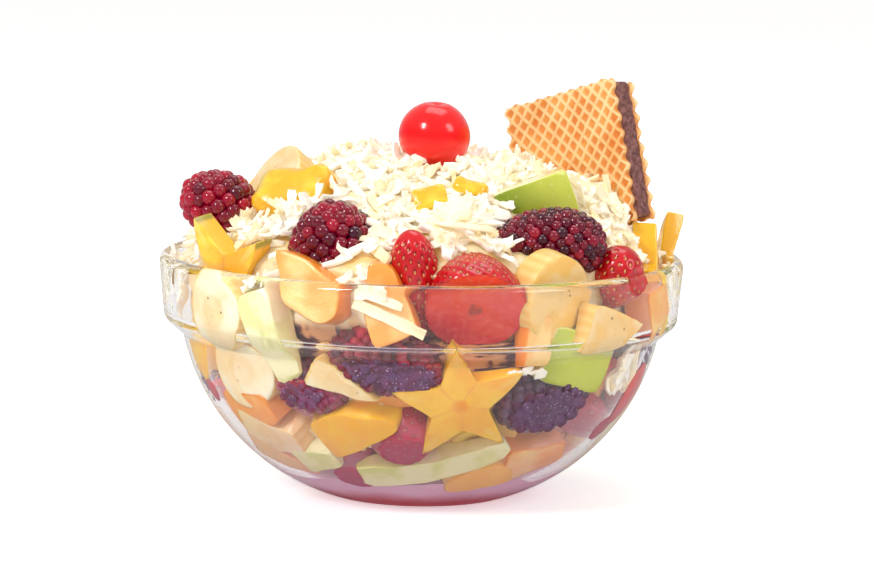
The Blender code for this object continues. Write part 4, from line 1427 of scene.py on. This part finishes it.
def make_juice_pool():
    around = 128
    turn = np.arange(around) / around * 2 * pi
    rings = []
    for far in (12.0, 24.0, 36.0):
        x, y = far * np.sin(turn), -far * np.cos(turn)
        rings.append(np.stack([x, y, np.full(around, JUICE_RISE)], axis=-1))
    for rise in np.linspace(JUICE_RISE, FLOOR, 9):
        wave = np.array([noise.noise(Vector((sin(a) * 3, cos(a) * 3, 0.0))) for a in turn])
        level = FLOOR + (rise - FLOOR) * (1 + 0.35 * wave)
        far = np.interp(level, inner_rise, inner_reach) + JUICE_BITE
        rings.append(np.stack([far * np.sin(turn), -far * np.cos(turn), level - JUICE_BITE * (level < FLOOR + 1)], axis=-1))
    shape = from_rings(np.array(rings), (0, 0, JUICE_RISE), (0, 0, FLOOR - JUICE_BITE))
    material, tree, shader = new_finish("berry_juice", 0.1, coat=0.5, deep=0.5, radius=(1.0, 0.2, 0.25), reach=3.0)
    split = add(tree, "SeparateXYZ")
    own = attribute(tree, "own")
    tree.links.new(own.outputs["Vector"], split.inputs[0])
    wave = noise_of(tree, own.outputs["Vector"], 60.0, detail=2.0)
    level = calc(tree, "MULTIPLY_ADD", wave, 0.004, split.outputs["Z"])
    colour = blend(tree, ramp(tree, level, 0.0060, 0.0110), srgb(198, 56, 74), srgb(230, 178, 204))
    tree.links.new(colour, shader.inputs["Base Color"])
    return turn_out_one("berry_juice_pool", shape.keep_own(), material, "berry_juice")


JUICE_RISE = 12.0
JUICE_BITE = 0.12
make_core()
make_juice_pool()

# %% [markdown]
# ## Fruit against the glass
#
# The pieces that lie against the wall are set one by one, because a bowl of fruit is read through
# its side. Each line gives a piece's azimuth and height on the wall, its spin, and how it turns
# and leans away from the wall. Those set later lie a hair deeper in the glass, so they are in front.

# %% Pieces set one by one
BITE_STEP = 0.035
BITE_START = 0.30
set_count = 0


def lay(kind, shape, azimuth, rise, spin=0.0, sunk=1.4, turn=0.0, lean=0.0, shade=0.5):
    global set_count
    bite = BITE_START + BITE_STEP * set_count
    set_count += 1
    inside[kind].add(on_glass(shape, azimuth, rise, spin, sunk, bite, turn, lean), shade)


def dice_cuts(long, wide, skew=8.0):
    """the cuts round a roughly square piece"""
    return [(skew, long / 2), (90 - skew, wide / 2), (180 + skew / 2, long / 2), (270 + skew, wide / 2)]


def wedge_cuts(long, wide):
    """the cuts round a piece that narrows to a point at +X"""
    slope = degrees(np.arctan2(wide / 2, long))
    return [(90 - slope, wide * 0.27), (180, long * 0.42), (270 + slope, wide * 0.27), (0, long * 0.5)]


lay("papaya", chunk(dice_cuts(22, 13), 10, 1.2, seed=11), -51, 33, spin=10, shade=0.8)
lay("strawberry", strawberry(14, 12, seeds=40, across=40, along=26, seed=12), -68, 37, spin=40, sunk=2.0)
lay("banana", banana_slice(24, 9, 13), -52, 65, turn=6, sunk=1.6, shade=0.25)
lay("banana", chunk(dice_cuts(24, 13), 10, 1.6, seed=14), -48, 25, spin=-10, shade=0.3)
lay("papaya", chunk(dice_cuts(26, 9), 9, 1.2, seed=15), -50, 17.5, spin=-22, shade=0.3)
lay("strawberry", strawberry(27, 20, seeds=60, across=48, along=32, seed=17), -27, 14.0, turn=70, lean=20, sunk=2.0)
lay("apple", peeled(chunk(dice_cuts(16, 9), 8, 1.2, seed=16)), -34, 18.5, spin=12, shade=0.2)
lay("bramble", bramble(36, 22, 0.2, ripe=0.45, fine=(8, 6), seed=18), -8, 51, spin=0, turn=88, lean=0, sunk=3.6)
lay("papaya", chunk(dice_cuts(9, 17), 8, 1.2, seed=19), 28.5, 60, spin=-8, sunk=-3, shade=0.05)
lay("banana", chunk([(71, 5.2), (295, 6.7), (270, 6), (165, 12)], 9, 1.0, seed=20), 48, 62, sunk=3.2, shade=0.65)
lay("papaya", chunk(dice_cuts(14, 14), 9, 1.6, seed=21), 66, 66, spin=20, shade=0.25)
lay("banana", banana_slice(26, 10, 22, 44), -50, 46, turn=10, sunk=1.8, shade=0.3)
lay("apple", peeled(chunk(dice_cuts(29, 12, 3), 9, 1.2, seed=23)), -36, 59, spin=-72, shade=0.1)
lay("bramble", bramble(25, 20, 0.3, ripe=0.62, fine=(10, 7), seed=24), -30, 41, spin=0, turn=80, lean=10, sunk=2.2)
lay("banana", chunk(wedge_cuts(26, 13), 8, 2.0, around=60, seed=25), -19, 45.5, spin=-26, shade=0.3)
lay("mango", chunk([(120, 9.4), (80, 8.4), (5, 15), (300, 5.9), (211, 11.7)], 12, 1.0, around=72, seed=26), -18, 29, shade=0.75)
lay("strawberry", strawberry(27, 21, seeds=170, across=96, along=64, seed=27), -7, 24.0, turn=62, lean=38, sunk=2.4)
lay("bramble", bramble(34, 24, 0.2, size=4.1, ripe=0.1, fine=(10, 7), seed=28), 37, 37.5, spin=0, turn=-84, lean=12, sunk=4.0)
lay("apple", apple_piece(27, 18, 9, 29, 44), 42, 52, spin=-14, sunk=1.6, shade=0.9)
lay("papaya", chunk(dice_cuts(22, 14), 10, 1.6, seed=30), 40, 19.5, spin=16, shade=0.35)
lay("strawberry", strawberry(24, 15, "along", seeds=60, across=48, along=32, seed=31), 71, 37, spin=62, sunk=1.5)
lay("strawberry", strawberry(20, 16, seeds=60, across=48, along=32, seed=32), 62, 27, turn=60, lean=40, sunk=1.6)
lay("starfruit", star_slice(47, 8, 33, 100), 10.5, 39.8, spin=27, sunk=2.6, shade=0.6)
lay("apple", peeled(chunk([(3, 25), (88, 4.6), (180, 22), (272, 5.5)], 8, 1.2, around=64, seed=35)), 4, 17.5, spin=19, sunk=2.6,
    shade=0.4)
lay("mango", chunk([(0, 11), (70, 8), (130, 8), (190, 12), (270, 7)], 11, 3.0, seed=34), 23, 14, spin=16, sunk=2.2, shade=1.0)
print("set by hand:", set_count)

# %% [markdown]
# ## The rest of the fruit
#
# The sides and the back are filled by a seeded loop. It goes up the wall in rows and turns each
# piece at random. They lie less deep in the wall than the pieces above, so where the two meet,
# the ones set one by one are in front.

# %% Pieces set by the loop
def random_piece(kind, seed):
    """a piece of one kind, in a size of its own"""
    long, wide = rng.uniform(17, 25), rng.uniform(12, 17)
    if kind == "banana":
        return banana_slice(rng.uniform(22, 27), rng.uniform(7, 10), seed)
    if kind == "starfruit":
        return star_slice(rng.uniform(36, 44), rng.uniform(6, 8), seed)
    if kind == "strawberry":
        return strawberry(rng.uniform(20, 28), rng.uniform(17, 22), rng.choice([None, "along"]), seeds=60,
                          across=40, along=28, seed=seed)
    if kind == "bramble":
        return bramble(rng.uniform(22, 27), rng.uniform(18, 22), 0.25, ripe=rng.uniform(0.2, 0.7), fine=(6, 5), seed=seed)
    if kind == "apple":
        return apple_piece(long, wide * 0.9, 9, seed, 32)
    return chunk(dice_cuts(long, wide, rng.uniform(-10, 14)), rng.uniform(9, 12), 1.6, seed=seed, around=28)


KINDS = ["banana", "mango", "papaya", "apple", "starfruit", "strawberry", "bramble", "mango", "papaya", "banana"]
FRONT = 66.0
CLEAR_SIDE = (70.0, 106.0)
OUTER_ROWS = ((11.0, 7), (23.0, 10), (36.0, 13), (49.0, 14), (60.0, 15), (70.0, 15))
INNER_ROWS = ((16.0, 8), (28.0, 11), (40.0, 13), (52.0, 14), (64.0, 15))
INNER_DEPTH = 6.0
loose_count = 0


def fill_row(rise, number, first, depth):
    """set a row of pieces round the bowl, from the azimuth first, with their faces at a depth inside the glass"""
    global loose_count
    for i in range(number):
        azimuth = first + (360 - 2 * first) * (i + 0.5 + rng.uniform(-0.25, 0.25)) / number
        loose_count += 1
        side = min(azimuth % 360, 360 - azimuth % 360)
        if rise > NECK.y and CLEAR_SIDE[0] < side < CLEAR_SIDE[1]:
            continue
        if depth > 0 and min(large_fruit_at(azimuth + turn, rise + up) for turn in (-8, 0, 8) for up in (-4, 3, 9)) < FAR_OUT:
            continue
        kind = KINDS[(loose_count * 7 + int(rise)) % len(KINDS)]
        shape = random_piece(kind, 100 + loose_count)
        round_piece = kind in ("strawberry", "bramble")
        on_glass(shape, azimuth, rise + rng.uniform(-3, 3), rng.uniform(0, 360), (2.0 if round_piece else 1.3) - depth,
                 0.05 + 0.001 * loose_count, rng.uniform(-8, 8), rng.uniform(30, 80) if round_piece else rng.uniform(-8, 8))
        inside[kind].add(shape, rng.uniform(0, 1))


for rise, number in OUTER_ROWS:
    fill_row(rise, number, FRONT, 0.0)
for rise, number in INNER_ROWS:
    fill_row(rise, number, 0.0, INNER_DEPTH)
print("set by the loop:", loose_count)

FINISHES = {
    "mango": (mango_finish, "mango_flesh"), "papaya": (papaya_finish, "papaya_flesh"),
    "banana": (banana_finish, "banana_flesh"), "apple": (apple_finish, "apple_green"),
    "starfruit": (starfruit_finish, "starfruit_yellow"), "strawberry": (strawberry_finish, "strawberry_red"),
    "bramble": (bramble_finish, "bramble_dark"),
}
for kind, (finish, slot_name) in FINISHES.items():
    inside[kind].turn_out(kind + "_in_bowl", finish, slot_name, "salad_heap")

# %% [markdown]
# ## Grated cheese
#
# The cheese is grated coarsely: ribbons of two or three millimetres that curl and break, some wide
# flakes, and crumbs. They fall on the heap and lie on what is there, so each is dropped straight
# down, and a ray finds the height at which it lands. None of the dropped ones stay on the large fruit.

# %% Shreds, flakes and crumbs
def shred(length, width, thick, curl, twist, seed, cup=0.0):
    """a ribbon along X with blunt ends, that curls upward along its length and is cupped across it"""
    steps = 8
    rings = []
    for i in range(steps):
        along = (i + 0.5) / steps - 0.5
        ragged = 1 + 0.35 * noise.noise(Vector((i * 0.9, seed * 1.7, 0.0)))
        half_w, half_t = width / 2 * ragged * (1 - 0.3 * (2 * abs(along)) ** 6), thick / 2
        turn = twist * along
        bow = curl * 4 * along ** 2
        ring = []
        for a, b in ((-1, -1), (0, -1), (1, -1), (1, 1), (0, 1), (-1, 1)):
            y, z = a * half_w, b * half_t * (1.2 - 0.4 * abs(a)) + cup * (a * a - 0.5)
            ring.append((along * length, y * cos(turn) - z * sin(turn), y * sin(turn) + z * cos(turn) + bow))
        rings.append(ring)
    rings = np.array(rings)
    return Shape(np.concatenate([[rings[0].mean(0)], rings.reshape(-1, 3), [rings[-1].mean(0)]]), skin_faces(steps, 6))


def flake(length, width, thick, seed, around=22, face_rings=(0.4, 0.75)):
    """a wide shaving with a torn outline and a wavy face"""
    def reach(turn):
        ragged = np.array([noise.noise(Vector((cos(a) * 2.6, sin(a) * 2.6, seed * 2.3))) for a in turn])
        base = between_cuts((0, length / 2), (90, width / 2), (180, length / 2), (270, width / 2), crisp=6)(turn)
        return base * (1 + 0.45 * ragged)
    shape = slab(reach, thick, thick * 0.3, around=around, sides=1, face_rings=face_rings)
    bend = noise.noise(Vector((seed * 0.7, 3.0, 1.0))) * 0.08
    shape.points[:, 2] += bend * shape.points[:, 0] ** 2
    return roughen(shape, 4.5, 0.9, seed)


def make_cheese_finish():
    material, tree, shader = new_finish("grated_cheese", 0.45, specular=0.3)
    # painted glow: a faint warm emission lifts the cheese's shadows to cream, in place of light scattered through the
    # shreds
    shader.inputs["Emission Color"].default_value = srgb(255, 236, 196)
    shader.inputs["Emission Strength"].default_value = 0.08
    own = attribute(tree, "own")
    shade = attribute(tree, "shade")
    patch = noise_of(tree, own.outputs["Vector"], 160.0)
    tone = calc(tree, "MULTIPLY_ADD", calc(tree, "SUBTRACT", patch, 0.5), 0.6, shade.outputs["Fac"])
    colour = blend(tree, ramp(tree, tone, 0.45, 1.0), srgb(255, 250, 238), srgb(255, 236, 190))
    colour_through_juice(tree, shader, colour, Amount=0.3, Level=0.024, Smear=srgb(212, 202, 188), Touch=0.9)
    raise_surface(tree, shader, noise_of(tree, own.outputs["Vector"], 900.0), 0.25, 0.3)
    return material


ground_tree = surfaces("heap_core", *[kind + "_in_bowl" for kind in FINISHES])
SKY = 180.0
DOWN = Vector((0.0, 0.0, -1.0))


def covers_fruit(x, y, rise):
    """whether a piece here would hide large fruit, seen from outside or from the front"""
    start = Vector((x, y, rise + 4.0))
    ways = (-Vector((x, y, 0.0)).normalized(), Vector((0.0, 1.0, 0.0)))
    return any(cover_tree.ray_cast(start, way, COVER_REACH)[0] is not None for way in ways)


cover_tree = surfaces(*[name for name in TOPPINGS if not name.startswith(("cherry", "wafer"))])
COVER_REACH = 13.0
COVER_SHARE = 0.04
GAP_RISE = 72.0


def drop(shape, x, y, lift, stays=0.0, steep=22.0, anywhere=False):
    """let a shape fall at a place; give None where it lands on large fruit and slides off"""
    start = Vector((x, y, SKY))
    ground, normal, _, _ = ground_tree.ray_cast(start, DOWN)
    fruit, fruit_normal, _, _ = topping_tree.ray_cast(start, DOWN)
    if ground is None:
        return None
    if fruit is not None and fruit.z > ground.z - 1.0:
        if rng.random() > stays or fruit_normal.z < 0.5:
            return None
        ground, normal, lift = fruit, fruit_normal, 0.6
    elif ground.z < GAP_RISE or not anywhere and covers_fruit(x, y, ground.z) and rng.random() > COVER_SHARE:
        return None
    yaw, nod, roll = rng.uniform(0, 360), rng.normal(0, steep), rng.normal(0, steep)
    lean = normal.to_track_quat("Z", "Y").to_matrix().to_3x3()
    turn = lean @ Matrix.Rotation(radians(yaw), 3, "Z") @ Matrix.Rotation(radians(nod), 3, "Y") @ Matrix.Rotation(radians(roll), 3, "X")
    shape.points = shape.points @ np.array(turn).T + np.array((x, y, ground.z + lift))
    press(shape.points, 0.2)
    return shape


def scatter(tray, count, make, lift, stays, steep, reach=79.0):
    landed = 0
    for i in range(count):
        far, turn = reach * sqrt(rng.random()), rng.uniform(0, 2 * pi)
        shape = drop(make(i), far * cos(turn), far * sin(turn), rng.uniform(*lift), stays, steep)
        if shape is not None:
            tray.add(shape, rng.random())
            landed += 1
    return landed


def clump(tray, count, make, x, y, spread, lift, deep=0.0):
    """a few pieces that fell together, at least as creamy as deep"""
    for i in range(count):
        shape = drop(make(i), rng.normal(x, spread), rng.normal(y, spread), rng.uniform(*lift), 0.0, 18, True)
        if shape is not None:
            tray.add(shape, rng.uniform(deep, 1.0))


cheese_finish = make_cheese_finish()
shreds, flakes, crumbs = Tray(), Tray(), Tray()
def any_shred(i):
    return shred(rng.uniform(6, 18), rng.uniform(1.6, 4.2), rng.uniform(0.8, 1.3), rng.uniform(-2.5, 3.5), rng.uniform(-1.6, 1.6), i,
                 rng.uniform(-0.6, 1.2))


def any_flake(i):
    return flake(rng.uniform(7, 17), rng.uniform(5, 10), rng.uniform(0.9, 1.8), i)


def any_crumb(i):
    return flake(rng.uniform(1.8, 4.5), rng.uniform(1.2, 3.0), rng.uniform(0.7, 1.3), i, 10, (0.6,))


def big_flake(i):
    return flake(rng.uniform(15, 21), rng.uniform(9, 13), 1.6, 900 + i)


print("flakes that landed:", scatter(flakes, 300, any_flake, (0.4, 2.4), 0.0, 11))
print("shreds that landed:", scatter(shreds, 2600, any_shred, (0.8, 4.2), 0.0, 14))
print("crumbs that landed:", scatter(crumbs, 900, any_crumb, (1.5, 5.0), 0.0, 30))
clump(flakes, 5, big_flake, 11, -55, 3.5, (4.0, 6.5), 0.7)
for x, y, number, spread in (
        (-17, -74, 18, 2.5), (-26, -66, 8, 2.2), (27, -64, 8, 2.5), (-40, -58, 8, 2.2),
        (7, -64, 9, 2.4), (17, -63, 9, 2.4), (25, -60, 7, 2.2)):
    clump(shreds, number, any_shred, x, y, spread, (0.8, 4.0))
for x, y, radius, tall, number in (
        (60, -17, 10, 15, 140), (51, -16, 9, 11, 90), (68, -10, 6, 6, 40), (-76, -14, 7, 5, 40),
        (-59, -17, 7, 6, 50), (-39, -37, 7, 3.5, 35)):
    for i in range(number):
        far, turn = radius * sqrt(rng.random()), rng.uniform(0, 2 * pi)
        lift = tall * (1 - (far / radius) ** 2) * rng.uniform(0.2, 1.0) + 0.8
        shape = drop(any_shred(i), x + far * cos(turn), y + far * sin(turn), lift, 0.0, 25, True)
        if shape is not None:
            shreds.add(shape, rng.random())
for i in range(700):
    azimuth, rise = rng.uniform(0, 360), rng.uniform(70, 81)
    near = [large_fruit_at(azimuth + side, rise + up) for side in (-5, 0, 5) for up in (0, 4)]
    if max([far for far in near if far < FAR_OUT], default=0.0) < (72 if rise < 75 else 60):
        far, turn = rng.uniform(69, 76), radians(azimuth)
        shreds.add(put(any_shred(i), (far * sin(turn), -far * cos(turn), rise), azimuth, rng.uniform(25, 80), rng.uniform(0, 180), 0.2),
                   rng.random())
for azimuth, rise, number, across, up in (
        (64, 47, 12, 4, 5), (-82, 68, 26, 8, 6), (82, 68, 20, 8, 6)):
    for i in range(number):
        on_glass_shred = on_glass(any_shred(i), azimuth + rng.uniform(-across, across), rise + rng.uniform(-up, up),
                                  rng.uniform(30, 150), 0.5, 0.2 + 0.01 * i)
        shreds.add(on_glass_shred, rng.random())
for i in range(6):
    crumbs.add(on_glass(any_crumb(i), 22 + 1.7 * i, 49.8 + rng.uniform(-1.6, 1.6), rng.uniform(0, 90), 0.4, 0.9), 0.2)
for azimuth, rise, spin, long in ((-10.5, 74.4, 2, 11), (-7.5, 73.0, -18, 13)):
    shreds.add(on_glass(shred(long, 2.6, 1.2, 1.0, 0.5, long, 0.5), azimuth, rise, spin, 0.8, 2.5), 0.8)
shreds.add(on_glass(shred(27, 3.6, 1.8, 1.5, 0.6, 1, 0.8), -6.5, 67.5, -23, 0.9, 2.6), 0.9)
for low, high, number in ((-19, -9, 16), (-41, -33, 10)):
    for i in range(number):
        azimuth, far = rng.uniform(low, high), rng.uniform(69.5, 73.5)
        place = (far * sin(radians(azimuth)), -far * cos(radians(azimuth)), rng.uniform(75.5, 79.5))
        short = shred(rng.uniform(5, 10), rng.uniform(1.6, 3.2), 1.0, rng.uniform(-1, 2), rng.uniform(-1.5, 1.5), i, 0.5)
        shreds.add(put(short, place, azimuth, rng.uniform(20, 60), rng.uniform(0, 180), 0.2), rng.random())
shreds.turn_out("cheese_shreds", cheese_finish, "grated_cheese", "salad_heap", sharp=80)
flakes.turn_out("cheese_flakes", cheese_finish, "grated_cheese", "salad_heap", sharp=50)
crumbs.turn_out("cheese_crumbs", cheese_finish, "grated_cheese", "salad_heap", sharp=50)
